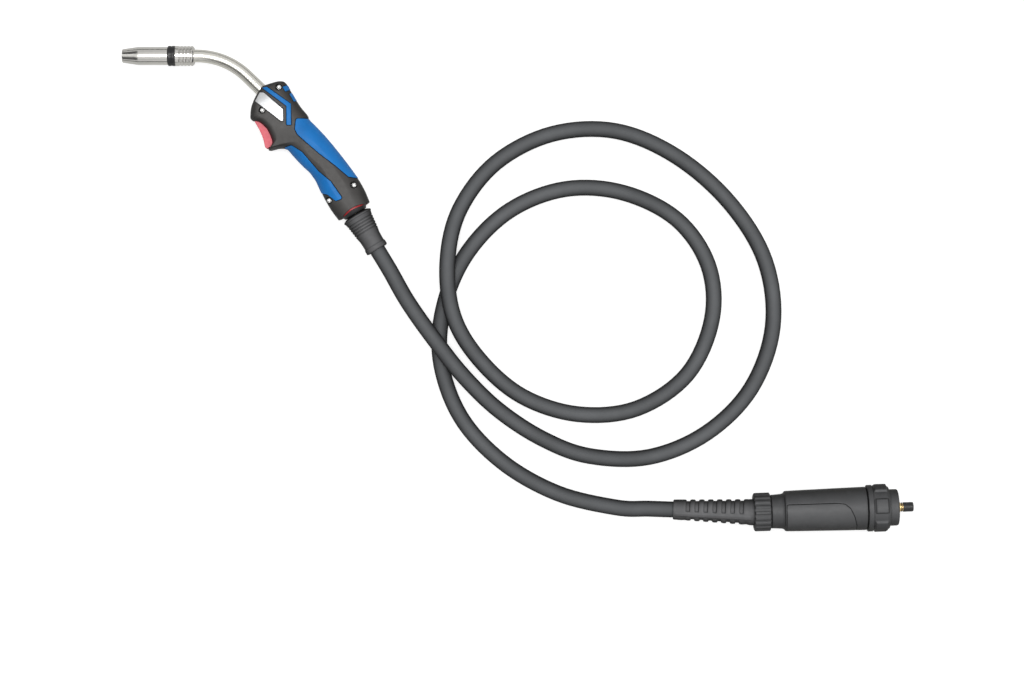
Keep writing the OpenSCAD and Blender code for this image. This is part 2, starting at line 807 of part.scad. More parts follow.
// One ring of the cable, square to its run
function cable_ring(p, i) =
    let (ahead = i == 0 ? boot_dir : i == len(p) - 1 ? relief_dir : unit(p[i + 1] - p[i - 1]))
    let (side = unit(cross([0, 0, 1], ahead)))
    let (up = cross(ahead, side))
    [for (j = [0 : cable_sides - 1])
        p[i] + cable_r * (cos(360 * j / cable_sides) * side + sin(360 * j / cable_sides) * up)];

module power_cable() {
    n = cable_sides;
    m = len(cable_rings);
    color("#2a2b2d") polyhedron(
        points = [for (i = [0 : m - 1]) each cable_ring(cable_rings, i)],
        faces = concat(
            [[for (j = [0 : n - 1]) j]],
            [for (i = [0 : m - 2], j = [0 : n - 1]) each [
                [i * n + j, (i + 1) * n + j, i * n + (j + 1) % n],
                [i * n + (j + 1) % n, (i + 1) * n + j, (i + 1) * n + (j + 1) % n]]],
            [[for (j = [n - 1 : -1 : 0]) (m - 1) * n + j]]),
        convexity = 8);
}

// The cable's length and its least gap to itself where it crosses over itself
union() {
    fine = route_curve(6);
    echo(cable_length = run_length(fine));
    echo(least_gap = min([for (i = [0 : len(fine) - 1], j = [i + 24 : 1 : len(fine) - 1])
        norm(fine[i] - fine[j])]) - 2 * cable_r);
}

// ---------- connector ----------

module connector_relief() {
    rear_r = 10.3;
    front_r = 13.8;
    inset = 2;
    groove_pitch = 9.35;
    groove_width = 3.4;
    groove_arc = 140;
    row_start = -70;
    row_turn = 46;
    floor_r = 9.4;
    floor_rise = 0.38;
    color("#303133") translate(plug_origin) rotate([0, 90 - relief_pitch, relief_yaw]) difference() {
        translate([0, 0, -relief_len]) cylinder(r1 = rear_r, r2 = front_r, h = relief_len + inset);
        // Seven grooves on one side, and six on the other between them
        for (row = [0, 1], i = [0 : 6 - row])
            translate([0, 0, row_start + (i + row / 2) * groove_pitch])
                rotate([0, 0, row_turn + 180 * row]) rotate_extrude(angle = groove_arc)
                    translate([floor_r + floor_rise * (i + row / 2), 0]) square([8, groove_width]);
    }
}

module relief_nut() {
    rib_count = 20;
    rib_r = 20.1;
    rib_width = 2.6;
    body_r = 19.2;
    nut_len = 17.5;
    relief_room_r = 14.6;
    relief_room = 4.5;
    color("#2c2d2f") on_plug(0) difference() {
        linear_extrude(height = nut_len) union() {
            circle(r = body_r);
            for (i = [0 : rib_count - 1]) rotate([0, 0, i * 360 / rib_count])
                translate([body_r - 1, -rib_width / 2]) square([rib_r - body_r + 1, rib_width]);
        }
        translate([0, 0, -over]) cylinder(r = relief_room_r, h = relief_room + over);
        translate([0, 0, -over]) cylinder(r = cable_way_r, h = big);
    }
}

// Distances ahead of the clamping nut's rear face
housing_rear = 17.6;
housing_step = 33.3;
housing_front = 118;
nut_rear = 118.4;
nut_step = 141.2;
nut_front = 151;
// The pads stand a little off the vertical
pad_turn = -8;
thread_seat_r = 18;
plug_face = 142;
pin_step = 153.6;
pin_front = 156.5;
liner_front = 167.2;
spigot_len = 3;
housing_wall = 2.8;
cable_way_r = 9;
plug_r = 12.4;
plug_shoulder = 103;
cover_gap = 0.3;
cover_outline = [
    [33.3, 7.5], [86, 7.5], [94, 6.6], [99.5, 1.5], [103.5, -7.5], [106, -17], [106.5, -30], [33.3, -30]
];

module housing_tube() {
    neck_front = 29;
    end_wall = 5;
    room_rear = 20;
    room_r = 15;
    difference() {
        rotate_extrude() polygon([
            [0, housing_rear], [16.6, housing_rear], [17.6, housing_rear + 1], [18.2, neck_front],
            [housing_rear_r, housing_step], [housing_front_r, housing_front - 3],
            [housing_front_r - 0.6, housing_front], [0, housing_front]
        ]);
        rotate_extrude() polygon([
            [0, room_rear], [room_r, room_rear], [room_r + 0.2, neck_front],
            [housing_rear_r - housing_wall, housing_step + 1.7],
            [housing_front_r - housing_wall, housing_front - end_wall], [0, housing_front - end_wall]
        ]);
        translate([0, 0, housing_rear - over])
            cylinder(r = cable_way_r, h = room_rear - housing_rear + 2 * over);
        translate([0, 0, housing_front - end_wall - over])
            cylinder(r = plug_r + fit_gap, h = end_wall + 3 * over);
    }
}

// The cover's outline goes straight through the housing, along the part's Z
module cover_column(gap) {
    rotate([0, -90, 0]) linear_extrude(height = big, center = true) offset(delta = gap)
        polygon(cover_outline);
}

module connector_housing() {
    color("#2c2d2f") on_plug(0) difference() {
        housing_tube();
        cover_column(cover_gap / 2);
    }
}

module housing_cover() {
    color("#333436") on_plug(0) intersection() {
        housing_tube();
        cover_column(-cover_gap / 2);
    }
}

module plug_conduit() {
    conduit_r = 6.5;
    conduit_bore_r = 4.4;
    conduit_rear = 4.6;
    conduit_len = plug_shoulder - 0.4 - conduit_rear;
    color("goldenrod") on_plug(conduit_rear) tube(conduit_r, conduit_bore_r, conduit_len);
}

module plug_body() {
    flange_r = 17;
    flange_front = housing_front - 5.2;
    color("#3a3a3a") on_plug(0) difference() {
        union() {
            translate([0, 0, plug_shoulder]) cylinder(r = flange_r, h = flange_front - plug_shoulder);
            translate([0, 0, plug_shoulder]) cylinder(r = plug_r, h = plug_face - plug_shoulder);
        }
        translate([0, 0, plug_shoulder - over]) cylinder(r = pin_tail_r + fit_gap, h = big);
        for (side = [-1, 1]) translate([side * contact_offset, 0, contact_hole_rear])
            cylinder(r = contact_bush_r + fit_gap, h = big);
    }
}

contact_offset = 8.3;
contact_hole_rear = 122;
contact_bush_r = 2.5;
contact_pin_r = 1.4;
contact_pin_rear = 131.8;
contact_bush_rear = 132;
pin_tail_r = 4.6;
pin_neck_r = 4;
pin_bore_r = 2.4;

module contact_bush(side) {
    proud = 0.6;
    color("ivory") on_plug(contact_bush_rear) translate([side * contact_offset, 0, 0])
        tube(contact_bush_r, contact_pin_r + fit_gap, plug_face - contact_bush_rear + proud);
}

module contact_pin(side) {
    shank_len = 13.7;
    nose_len = 1.2;
    nose_r = 0.8;
    color("gold") on_plug(contact_pin_rear) translate([side * contact_offset, 0, 0]) {
        cylinder(r = contact_pin_r, h = shank_len);
        translate([0, 0, shank_len]) cylinder(r1 = contact_pin_r, r2 = nose_r, h = nose_len);
    }
}

module contact_spring(side) {
    spring_r = 1.9;
    spring_bore_r = 1.2;
    spring_len = 5.6;
    color("gray") on_plug(contact_hole_rear + 0.1) translate([side * contact_offset, 0, 0])
        tube(spring_r, spring_bore_r, spring_len);
}

// A split ring that holds the union nut on the plug
module nut_clip() {
    clip_rear = 126.4;
    clip_r = 14.6;
    clip_len = 1.4;
    split_width = 3;
    color("silver") on_plug(clip_rear) difference() {
        tube(clip_r, plug_r + fit_gap, clip_len);
        translate([0, -split_width / 2, -over]) cube([big, split_width, clip_len + 2 * over]);
    }
}

module union_nut() {
    pad_count = 6;
    pad_width = 16;
    pad_rear = 125.6;
    pad_len = 14;
    pad_slope = 2;
    pad_root_r = 20;
    flange_r = 24.4;
    grip_r = 23.4;
    collar_r = 19.1;
    clip_room_r = 17;
    color("#2b2c2e") on_plug(0) {
        rotate_extrude() polygon([
            [plug_r + 0.3, nut_rear], [flange_r - 0.8, nut_rear], [flange_r, nut_rear + 1], [flange_r, 124],
            [grip_r, 124.6], [grip_r, 138], [21.8, nut_step], [collar_r, nut_step],
            [collar_r, nut_front - 1.5], [collar_r - 1, nut_front], [thread_seat_r, nut_front],
            [thread_seat_r, 131.5], [clip_room_r, 130.5], [clip_room_r, 126], [plug_r + 0.3, 126]
        ]);
        for (i = [0 : pad_count - 1]) rotate([0, 0, i * 360 / pad_count + pad_turn]) intersection() {
            translate([pad_root_r, -pad_width / 2, pad_rear]) cube([nut_r - pad_root_r, pad_width, pad_len]);
            rotate_extrude() polygon([
                [pad_root_r, pad_rear], [nut_r, pad_rear], [nut_r, pad_rear + pad_len - pad_slope],
                [23.6, pad_rear + pad_len], [pad_root_r, pad_rear + pad_len]
            ]);
        }
    }
}

module thread_insert() {
    thread_rear = 131.8;
    thread_len = 18.2;
    thread_r = 17.1;
    color("goldenrod") on_plug(thread_rear) tube(thread_seat_r - fit_gap, thread_r, thread_len);
}

module power_pin() {
    color("goldenrod") on_plug(0) difference() {
        union() {
            translate([0, 0, plug_shoulder]) cylinder(r = pin_tail_r, h = plug_face - plug_shoulder);
            translate([0, 0, plug_face]) cylinder(r = power_pin_r, h = pin_step - plug_face);
            translate([0, 0, pin_step]) cylinder(r = pin_neck_r, h = pin_front - pin_step);
        }
        translate([0, 0, plug_shoulder - over]) cylinder(r = pin_bore_r, h = big);
    }
}

module pin_o_ring() {
    ring_wire_r = 0.45;
    color("black") on_plug((pin_step + pin_front) / 2) rotate_extrude()
        translate([pin_neck_r + 0.5, 0]) circle(r = ring_wire_r, $fn = 32);
}

// The nut's spigot screws into the end of the pin's bore
module liner_nut() {
    nut_len = 9.7;
    nose_r = 4.4;
    wire_inlet_r = 1.5;
    color("#181818") on_plug(pin_front) difference() {
        union() {
            translate([0, 0, -spigot_len]) cylinder(r = pin_bore_r - fit_gap, h = spigot_len + over);
            cylinder(r = power_pin_r, h = nut_len);
            translate([0, 0, nut_len])
                cylinder(r1 = power_pin_r, r2 = nose_r, h = liner_front - pin_front - nut_len);
        }
        translate([0, 0, -spigot_len - over]) cylinder(r = wire_inlet_r, h = big);
    }
}

// ---------- assembly ----------

gas_nozzle();
contact_tip();
tip_holder();
gas_diffuser();
nozzle_insulator();
nozzle_spring();
neck_collar();
neck_outer_tube();
neck_insulation();
neck_inner_tube();
neck_liner();
neck_clamp_block();
clamp_screws();
inner_lead();
handle_shell_top();
handle_shell_bottom();
grip_back(1);  // grip_back_top
grip_back(-1);  // grip_back_bottom
grip_front(1);  // grip_front_top
grip_front(-1);  // grip_front_bottom
accent_stripe(1);  // accent_stripe_top
accent_stripe(-1);  // accent_stripe_bottom
label_plate(1);  // label_plate_top
label_plate(-1);  // label_plate_bottom
handle_screws();
trigger();
trigger_pin();
trigger_spring();
microswitch();
switch_plunger();
switch_leads();
ball_socket();
swivel_seal();
slip_ring();
swivel_ball();
cable_boot();
boot_core();
power_cable();
connector_relief();
relief_nut();
connector_housing();
housing_cover();
plug_conduit();
plug_body();
nut_clip();
union_nut();
thread_insert();
power_pin();
pin_o_ring();
liner_nut();
contact_bush(1);  // contact_bush_a
contact_bush(-1);  // contact_bush_b
contact_pin(1);  // contact_pin_a
contact_pin(-1);  // contact_pin_b
contact_spring(1);  // contact_spring_a
contact_spring(-1);  // contact_spring_b
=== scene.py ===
"""MIG/MAG welding torch on a pale floor, seen from straight above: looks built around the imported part."""
import json
import math

import bmesh
import bpy
import numpy as np
from mathutils import Matrix, Vector

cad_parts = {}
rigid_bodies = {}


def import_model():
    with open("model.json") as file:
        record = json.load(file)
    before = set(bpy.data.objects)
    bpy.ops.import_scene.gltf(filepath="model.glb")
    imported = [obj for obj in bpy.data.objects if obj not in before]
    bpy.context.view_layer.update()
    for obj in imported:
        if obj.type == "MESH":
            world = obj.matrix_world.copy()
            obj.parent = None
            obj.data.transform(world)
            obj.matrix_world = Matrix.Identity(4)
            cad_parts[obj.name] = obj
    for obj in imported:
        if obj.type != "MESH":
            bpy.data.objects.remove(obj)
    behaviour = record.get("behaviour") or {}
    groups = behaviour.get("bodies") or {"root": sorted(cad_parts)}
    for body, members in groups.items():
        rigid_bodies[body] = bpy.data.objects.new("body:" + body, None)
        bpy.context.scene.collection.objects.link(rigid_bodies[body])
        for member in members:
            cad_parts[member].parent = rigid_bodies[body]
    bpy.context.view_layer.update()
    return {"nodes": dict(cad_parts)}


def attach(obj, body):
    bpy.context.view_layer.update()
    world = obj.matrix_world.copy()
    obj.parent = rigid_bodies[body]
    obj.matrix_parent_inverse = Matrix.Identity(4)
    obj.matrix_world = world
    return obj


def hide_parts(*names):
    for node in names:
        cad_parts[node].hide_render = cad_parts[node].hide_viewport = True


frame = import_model()
NODES = frame["nodes"]
MM = 0.001

# ---------- camera: straight above, as in the photograph ----------

# Width of what the picture shows, its centre and the height of the eye over it, in metres
VIEW_W = 1.0752
VIEW_CENTRE = (0.20055, -0.1885)
EYE_H = 3.0
# The picture's width is measured at this height, where most of the torch's edges are
VIEW_Z = 0.016
SENSOR_W = 36
cam_data = bpy.data.cameras.new("camera")
cam_data.sensor_width = SENSOR_W
cam_data.lens = SENSOR_W * EYE_H / VIEW_W
cam_data.clip_end = 50
camera = bpy.data.objects.new("camera", cam_data)
camera.location = (VIEW_CENTRE[0], VIEW_CENTRE[1], EYE_H + VIEW_Z)
bpy.context.scene.collection.objects.link(camera)
bpy.context.scene.camera = camera

# ---------- sizes repeated from the part's source, in millimetres ----------

GUN_Z, HEAD_Y, BEND_X, BEND_R, BEND_ANGLE = 19.0, 111.0, -130.0, 75.5, 44.0
NECK_R = 6.7
HANDLE_ANGLE, SWIVEL_ANGLE = -55.0, -59.0
SWIVEL = (31.9, -46.5)
CABLE_R, CABLE_Z = 8.4, 8.6
PLUG, PLUG_ANGLE = (453.3, -367.2, 25.5), 2.0
RELIEF_LEN, RELIEF_YAW, RELIEF_PITCH = 84.0, -1.6, 6.0
BOOT_REAR = 53.3


def rad(a):
    return math.radians(a)


def axis_frame(origin, direction):
    """A frame at origin whose Z runs along direction and whose X points down, in millimetres."""
    z = Vector(direction).normalized()
    y = Vector((0, 0, 1)).cross(z).normalized()
    x = y.cross(z)
    m = Matrix((x, y, z)).transposed().to_4x4()
    m.translation = Vector(origin)
    return m


HEAD = axis_frame((BEND_X, HEAD_Y, GUN_Z), (-1, 0, 0))
HANDLE = Matrix.Translation((0, 0, GUN_Z)) @ Matrix.Rotation(rad(HANDLE_ANGLE), 4, "Z")
SWIVEL_DIR = Vector((math.cos(rad(SWIVEL_ANGLE)), math.sin(rad(SWIVEL_ANGLE)), 0))
SWIVEL_AT = axis_frame((SWIVEL[0], SWIVEL[1], GUN_Z), SWIVEL_DIR)
PLUG_AT = axis_frame(PLUG, (math.cos(rad(PLUG_ANGLE)), math.sin(rad(PLUG_ANGLE)), 0))
RELIEF_DIR = Vector((
    math.cos(rad(RELIEF_PITCH)) * math.cos(rad(RELIEF_YAW)),
    math.cos(rad(RELIEF_PITCH)) * math.sin(rad(RELIEF_YAW)),
    math.sin(rad(RELIEF_PITCH)),
))
RELIEF_AT = axis_frame(PLUG, RELIEF_DIR)


# ---------- mesh helpers ----------


def raw(mesh, name):
    """A new object in the scene, with its mesh or lamp as it is."""
    ob = bpy.data.objects.new(name, mesh)
    bpy.context.scene.collection.objects.link(ob)
    return ob


def seat(ob, matrix):
    """Moves a mesh made in millimetres, in a frame of its own, to its place in metres."""
    ob.data.transform(matrix)
    ob.data.transform(Matrix.Scale(MM, 4))
    ob.data.shade_smooth()
    return ob


def outward(mesh):
    """Turns the faces of a closed mesh outwards."""
    bm = bmesh.new()
    bm.from_mesh(mesh)
    bmesh.ops.recalc_face_normals(bm, faces=bm.faces)
    if bm.calc_volume(signed=True) < 0:
        bmesh.ops.reverse_faces(bm, faces=bm.faces)
    bm.to_mesh(mesh)
    bm.free()
    return mesh


def split_caps(mesh):
    """Cuts the many-sided ends of a mesh into triangles."""
    bm = bmesh.new()
    bm.from_mesh(mesh)
    bmesh.ops.triangulate(bm, faces=[f for f in bm.faces if len(f.verts) > 4])
    bm.to_mesh(mesh)
    bm.free()
    return mesh


def grid_mesh(name, rings, wrap=True, uvs=None):
    """A mesh from rings of equally many points. The last ring joins the first, or both ends are capped."""
    n, m = len(rings[0]), len(rings)
    verts = [tuple(p) for ring in rings for p in ring]
    faces = []
    for i in range(m - 1):
        for j in range(n):
            k = (j + 1) % n
            faces.append((i * n + j, i * n + k, (i + 1) * n + k, (i + 1) * n + j))
    if wrap:
        for j in range(n):
            k = (j + 1) % n
            faces.append(((m - 1) * n + j, (m - 1) * n + k, k, j))
    else:
        faces.append(tuple(reversed(range(n))))
        faces.append(tuple(range((m - 1) * n, m * n)))
    mesh = bpy.data.meshes.new(name)
    mesh.from_pydata(verts, [], faces)
    if uvs is not None:
        layer = mesh.uv_layers.new(name="along")
        for poly in mesh.polygons:
            at = [divmod(mesh.loops[li].vertex_index, n) for li in poly.loop_indices]
            last = max(j for _, j in at) == n - 1
            for li, (i, j) in zip(poly.loop_indices, at):
                layer.data[li].uv = (uvs[i], 1.0 if last and j == 0 else j / n)
    mesh.update()
    return mesh


def fillet(points, radius, steps=4):
    """Rounds the corners of a closed 2D outline. radius is one number or one for each corner."""
    shortest_edge = 1e-6
    straight = rad(88)
    out, n = [], len(points)
    for i, p in enumerate(points):
        r = radius[i] if hasattr(radius, "__len__") else radius
        p = np.array(p, float)
        a, b = np.array(points[i - 1], float), np.array(points[(i + 1) % n], float)
        la, lb = np.linalg.norm(a - p), np.linalg.norm(b - p)
        if r <= 0 or min(la, lb) < shortest_edge:
            out.append(tuple(p))
            continue
        ua, ub = (a - p) / la, (b - p) / lb
        cos_t = float(np.clip(ua @ ub, -1, 1))
        half = math.acos(cos_t) / 2
        if half > straight:
            out.append(tuple(p))
            continue
        cut = min(r / math.tan(half), 0.45 * la, 0.45 * lb)
        s, e = p + ua * cut, p + ub * cut
        for k in range(steps + 1):
            t = k / steps
            out.append(tuple((1 - t) ** 2 * s + 2 * t * (1 - t) * p + t * t * e))
    return out


def dense(points, step):
    """A closed outline again with no edge longer than step."""
    out, n = [], len(points)
    for i in range(n):
        a, b = np.array(points[i], float), np.array(points[(i + 1) % n], float)
        parts = max(1, math.ceil(np.linalg.norm(b - a) / step))
        out += [tuple(a + (b - a) * k / parts) for k in range(parts)]
    return out


def turned(name, profile, sides, shape=None):
    """Turns a closed profile of (radius, distance) round Z, in millimetres. shape may change a radius."""
    rings = []
    for r, z in profile:
        ring = []
        for j in range(sides):
            phi = 2 * math.pi * j / sides
            here = shape(r, z, phi) if shape else r
            ring.append((here * math.cos(phi), here * math.sin(phi), z))
        rings.append(ring)
    return raw(outward(grid_mesh(name, rings)), name)


def lathe(name, profile, matrix, sides=96, shape=None):
    """A turned piece in its place: its axis is the frame's Z."""
    return seat(turned(name, profile, sides, shape), matrix)


def smoothstep(a, b, x):
    """0 before a, 1 past b, and smooth between them; a may be the larger one."""
    t = min(max((x - a) / (b - a), 0.0), 1.0)
    return t * t * (3 - 2 * t)


def twice_area(outline):
    """Twice an outline's area, below 0 where it runs clockwise."""
    return sum(p[0] * q[1] - q[0] * p[1] for p, q in zip(outline, outline[1:] + outline[:1]))


def prism(name, outline, low, high):
    """A closed prism over a 2D outline, in millimetres, not yet placed."""
    pts = outline if twice_area(outline) > 0 else list(reversed(outline))
    n = len(pts)
    verts = [(x, y, low) for x, y in pts] + [(x, y, high) for x, y in pts]
    faces = [tuple(reversed(range(n))), tuple(range(n, 2 * n))]
    faces += [(j, (j + 1) % n, n + (j + 1) % n, n + j) for j in range(n)]
    mesh = bpy.data.meshes.new(name)
    mesh.from_pydata(verts, [], faces)
    return raw(split_caps(mesh), name)


def rod(name, r, low, high, matrix, sides=48):
    """A closed cylinder along the matrix's Z, in millimetres, as a cutter."""
    turns = [2 * math.pi * j / sides for j in range(sides)]
    outline = [(r * math.cos(a), r * math.sin(a)) for a in turns]
    ob = prism(name, outline, low, high)
    ob.data.transform(matrix)
    return ob


def modified(ob, kind, **settings):
    """ob with one modifier applied."""
    mod = ob.modifiers.new("step", kind)
    for key, value in settings.items():
        setattr(mod, key, value)
    mesh = bpy.data.meshes.new_from_object(ob.evaluated_get(bpy.context.evaluated_depsgraph_get()))
    ob.modifiers.clear()
    old, ob.data = ob.data, mesh
    bpy.data.meshes.remove(old)
    return ob


def combine(ob, others, how):
    """ob after a boolean with each of the others, which are removed."""
    for other in others:
        modified(ob, "BOOLEAN", operation=how, object=other, solver="MANIFOLD")
        bpy.data.objects.remove(other)
    return ob


def joined(parts):
    """All the parts as one."""
    return combine(parts[0], parts[1:], "UNION")


def moulded(ob, voxel, soften, keep):
    """Rounds every edge a little, as moulding leaves it. voxel is in millimetres, keep a share of faces."""
    modified(ob, "REMESH", mode="VOXEL", voxel_size=voxel, adaptivity=0.0)
    modified(ob, "SMOOTH", factor=0.5, iterations=soften)
    return modified(ob, "DECIMATE", decimate_type="COLLAPSE", ratio=keep)


def dress(ob, body, slot, mat, *nodes):
    """Gives a piece its material and its body, and hides the nodes that it stands for. slot is not used."""
    ob.data.materials.clear()
    ob.data.materials.append(mat)
    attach(ob, body)
    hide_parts(*nodes)
    return ob


# ---------- materials ----------

# How far a recess is looked into for its painted shade, and the height of the fine grain, in metres
RECESS_SHADE_REACH = 0.004
GRAIN_HEIGHT = 0.0002
DUST = (0.35, 0.34, 0.32)


def scaled(color, by):
    return tuple(min(1.0, c * by) for c in color)


def material(
    name, color, rough, metal=0.0, vary=0.12, vary_size=40.0, grain=0.0, grain_size=1200.0,
    rough_vary=0.08, scuff=0.0, scuff_color=None, wear=0.0, wear_color=None, specular=0.5,
    dust=0.0, painted_recess_shade=0.0, painted_side_shade=0.0,
):
    """A procedural surface: uneven colour, fine grain, uneven roughness, scuffs, worn edges, painted shade in
    recesses, and painted shade on the sides and underside, so that what lies uppermost stays lighter. Sizes
    are in cycles a metre, and amounts from 0 to 1."""
    mat = bpy.data.materials.new(name)
    mat.use_nodes = True
    nt = mat.node_tree
    nt.nodes.clear()
    out = nt.nodes.new("ShaderNodeOutputMaterial")
    bsdf = nt.nodes.new("ShaderNodeBsdfPrincipled")
    nt.links.new(bsdf.outputs[0], out.inputs["Surface"])
    bsdf.inputs["Metallic"].default_value = metal
    bsdf.inputs["Specular IOR Level"].default_value = specular
    coord = nt.nodes.new("ShaderNodeTexCoord")

    def noise(scale, detail=4.0, noise_rough=0.55):
        node = nt.nodes.new("ShaderNodeTexNoise")
        node.inputs["Scale"].default_value = scale
        node.inputs["Detail"].default_value = detail
        node.inputs["Roughness"].default_value = noise_rough
        nt.links.new(coord.outputs["Object"], node.inputs["Vector"])
        return node.outputs["Fac"]

    def span(value, lo_in, hi_in, lo, hi):
        """The value's range from lo_in to hi_in, spread from lo to hi."""
        node = nt.nodes.new("ShaderNodeMapRange")
        for socket, number in (("From Min", lo_in), ("From Max", hi_in), ("To Min", lo), ("To Max", hi)):
            node.inputs[socket].default_value = number
        nt.links.new(value, node.inputs["Value"])
        return node.outputs[0]

    def mix(share, a, b):
        """Colour a, with a share of colour b."""
        node = nt.nodes.new("ShaderNodeMix")
        node.data_type = "RGBA"
        nt.links.new(share, node.inputs[0])
        for socket, value in ((node.inputs[6], a), (node.inputs[7], b)):
            if isinstance(value, bpy.types.NodeSocket):
                nt.links.new(value, socket)
            else:
                socket.default_value = (*value, 1)
        return node.outputs[2]

    surface = mix(span(noise(vary_size), 0.35, 0.65, 0, 1), scaled(color, 1 - vary), scaled(color, 1 + vary))
    # Painted shade: the sides and underside, judged by the piece's own normal, shift towards a copy of the
    # colour at 0.12 of its brightness, so the top reads as lit from above
    if painted_side_shade > 0:
        up = nt.nodes.new("ShaderNodeSeparateXYZ")
        nt.links.new(coord.outputs["Normal"], up.inputs[0])
        surface = mix(span(up.outputs["Z"], 0.4, 1.0, painted_side_shade, 0), surface, scaled(color, 0.12))
    marks = noise(vary_size * 9, 6.0, 0.7)
    if scuff > 0:
        surface = mix(span(marks, 0.66, 0.74, 0, scuff), surface, scuff_color)
    if dust > 0:
        surface = mix(span(noise(vary_size * 3, 3.0), 0.5, 0.8, 0, dust), surface, DUST)
    if wear > 0:
        edges = nt.nodes.new("ShaderNodeNewGeometry")
        surface = mix(span(edges.outputs["Pointiness"], 0.53, 0.6, 0, wear), surface, wear_color)
    # Painted shade: ambient occlusion darkens recesses, creases and the lines between parts towards a copy of
    # the colour at 0.2 of its brightness
    if painted_recess_shade > 0:
        around = nt.nodes.new("ShaderNodeAmbientOcclusion")
        around.samples = 8
        around.inputs["Distance"].default_value = RECESS_SHADE_REACH
        surface = mix(span(around.outputs["AO"], 0.35, 0.85, painted_recess_shade, 0), surface, scaled(color, 0.2))
    nt.links.new(surface, bsdf.inputs["Base Color"])
    uneven = span(marks, 0.3, 0.7, max(0.02, rough - rough_vary), min(1.0, rough + rough_vary))
    nt.links.new(uneven, bsdf.inputs["Roughness"])
    if grain > 0:
        bump = nt.nodes.new("ShaderNodeBump")
        bump.inputs["Strength"].default_value = grain
        bump.inputs["Distance"].default_value = GRAIN_HEIGHT
        nt.links.new(noise(grain_size, 3.0, 0.6), bump.inputs["Height"])
        nt.links.new(bump.outputs[0], bsdf.inputs["Normal"])
    return mat


# Painted shade: the shell, connector, lid and rubber darken in their recesses, and these and the cable jacket
# darken on their sides and underside
M = {
    "nickel": material(
        "bright_nickel", (0.80, 0.785, 0.75), 0.16, 1.0, vary=0.05, vary_size=25, grain=0.06, grain_size=900,
        rough_vary=0.06, scuff=0.25, scuff_color=(0.5, 0.48, 0.45)),
    "neck": material(
        "polished_tube", (0.90, 0.88, 0.815), 0.24, 1.0, vary=0.04, vary_size=18, grain=0.03, grain_size=700,
        rough_vary=0.05, scuff=0.12, scuff_color=(0.6, 0.57, 0.5)),
    "steel": material(
        "spring_steel", (0.55, 0.55, 0.54), 0.32, 1.0, vary=0.08, grain=0.08, grain_size=1500),
    "copper": material(
        "drawn_copper", (0.72, 0.36, 0.22), 0.3, 1.0, vary=0.12, vary_size=120, grain=0.1, scuff=0.3,
        scuff_color=(0.35, 0.2, 0.14)),
    "brass": material(
        "turned_brass", (0.72, 0.52, 0.24), 0.28, 1.0, vary=0.1, vary_size=90, grain=0.08, grain_size=1600),
    "shell": material(
        "moulded_nylon", (0.070, 0.067, 0.065), 0.46, vary=0.12, vary_size=30, grain=0.35, grain_size=1500,
        rough_vary=0.07, scuff=0.12, scuff_color=(0.12, 0.12, 0.12), wear=0.25, wear_color=(0.1, 0.1, 0.1),
        specular=0.2, dust=0.03, painted_recess_shade=0.8, painted_side_shade=0.95),
    "grip": material(
        "blue_grip", (0.006, 0.165, 0.500), 0.56, vary=0.1, vary_size=26, grain=0.4, grain_size=1300,
        rough_vary=0.08, specular=0.3, scuff=0.1, scuff_color=(0.05, 0.22, 0.50)),
    "trigger": material(
        "trigger_red", (0.70, 0.070, 0.105), 0.42, vary=0.07, vary_size=60, grain=0.2, grain_size=1400,
        rough_vary=0.07),
    "label": material(
        "bare_plate", (0.66, 0.67, 0.68), 0.34, 0.25, vary=0.03, vary_size=60, grain=0.12, grain_size=1600,
        rough_vary=0.06),
    "black": material(
        "black_moulding", (0.018, 0.018, 0.019), 0.42, vary=0.15, vary_size=60, grain=0.3, grain_size=1400,
        rough_vary=0.08),
    "plug": material(
        "connector_nylon", (0.082, 0.083, 0.086), 0.48, vary=0.1, vary_size=30, grain=0.4, grain_size=1100,
        rough_vary=0.08, scuff=0.1, scuff_color=(0.11, 0.11, 0.11), wear=0.25, wear_color=(0.09, 0.09, 0.09),
        specular=0.25, dust=0.03, painted_recess_shade=0.9, painted_side_shade=1.0),
    "lid": material(
        "connector_lid", (0.092, 0.093, 0.096), 0.46, vary=0.08, vary_size=34, grain=0.4, grain_size=1100,
        rough_vary=0.08, scuff=0.1, scuff_color=(0.13, 0.13, 0.13), wear=0.25, wear_color=(0.1, 0.1, 0.1),
        specular=0.25, dust=0.03, painted_recess_shade=0.6, painted_side_shade=1.0),
    "rubber": material(
        "boot_rubber", (0.130, 0.130, 0.134), 0.5, vary=0.12, vary_size=40, grain=0.35, grain_size=1300,
        rough_vary=0.07, specular=0.1, dust=0.03, painted_recess_shade=0.9, painted_side_shade=1.0),
    "jacket": material(
        "cable_jacket", (0.110, 0.114, 0.119), 0.55, vary_size=14, grain=0.3, grain_size=900,
        rough_vary=0.1, scuff=0.1, scuff_color=(0.1, 0.1, 0.1), specular=0.06, dust=0.01, painted_side_shade=1.0),
    "pale": material("acetal", (0.80, 0.76, 0.66), 0.4, vary=0.05, grain=0.1),
    "ceramic": material("fired_ceramic", (0.80, 0.77, 0.70), 0.5, vary=0.06, grain=0.2, vary_size=150),
    "silicone": material("insulating_sleeve", (0.30, 0.12, 0.06), 0.55, vary=0.12, grain=0.3),
    "red": material(
        "red_seal", (0.38, 0.02, 0.025), 0.45, vary=0.1, vary_size=80, grain=0.2, rough_vary=0.06),
}

# ---------- cable ----------

swivel_end = Vector((SWIVEL[0], SWIVEL[1], GUN_Z)) + BOOT_REAR * SWIVEL_DIR
relief_end = Vector(PLUG) - RELIEF_LEN * RELIEF_DIR
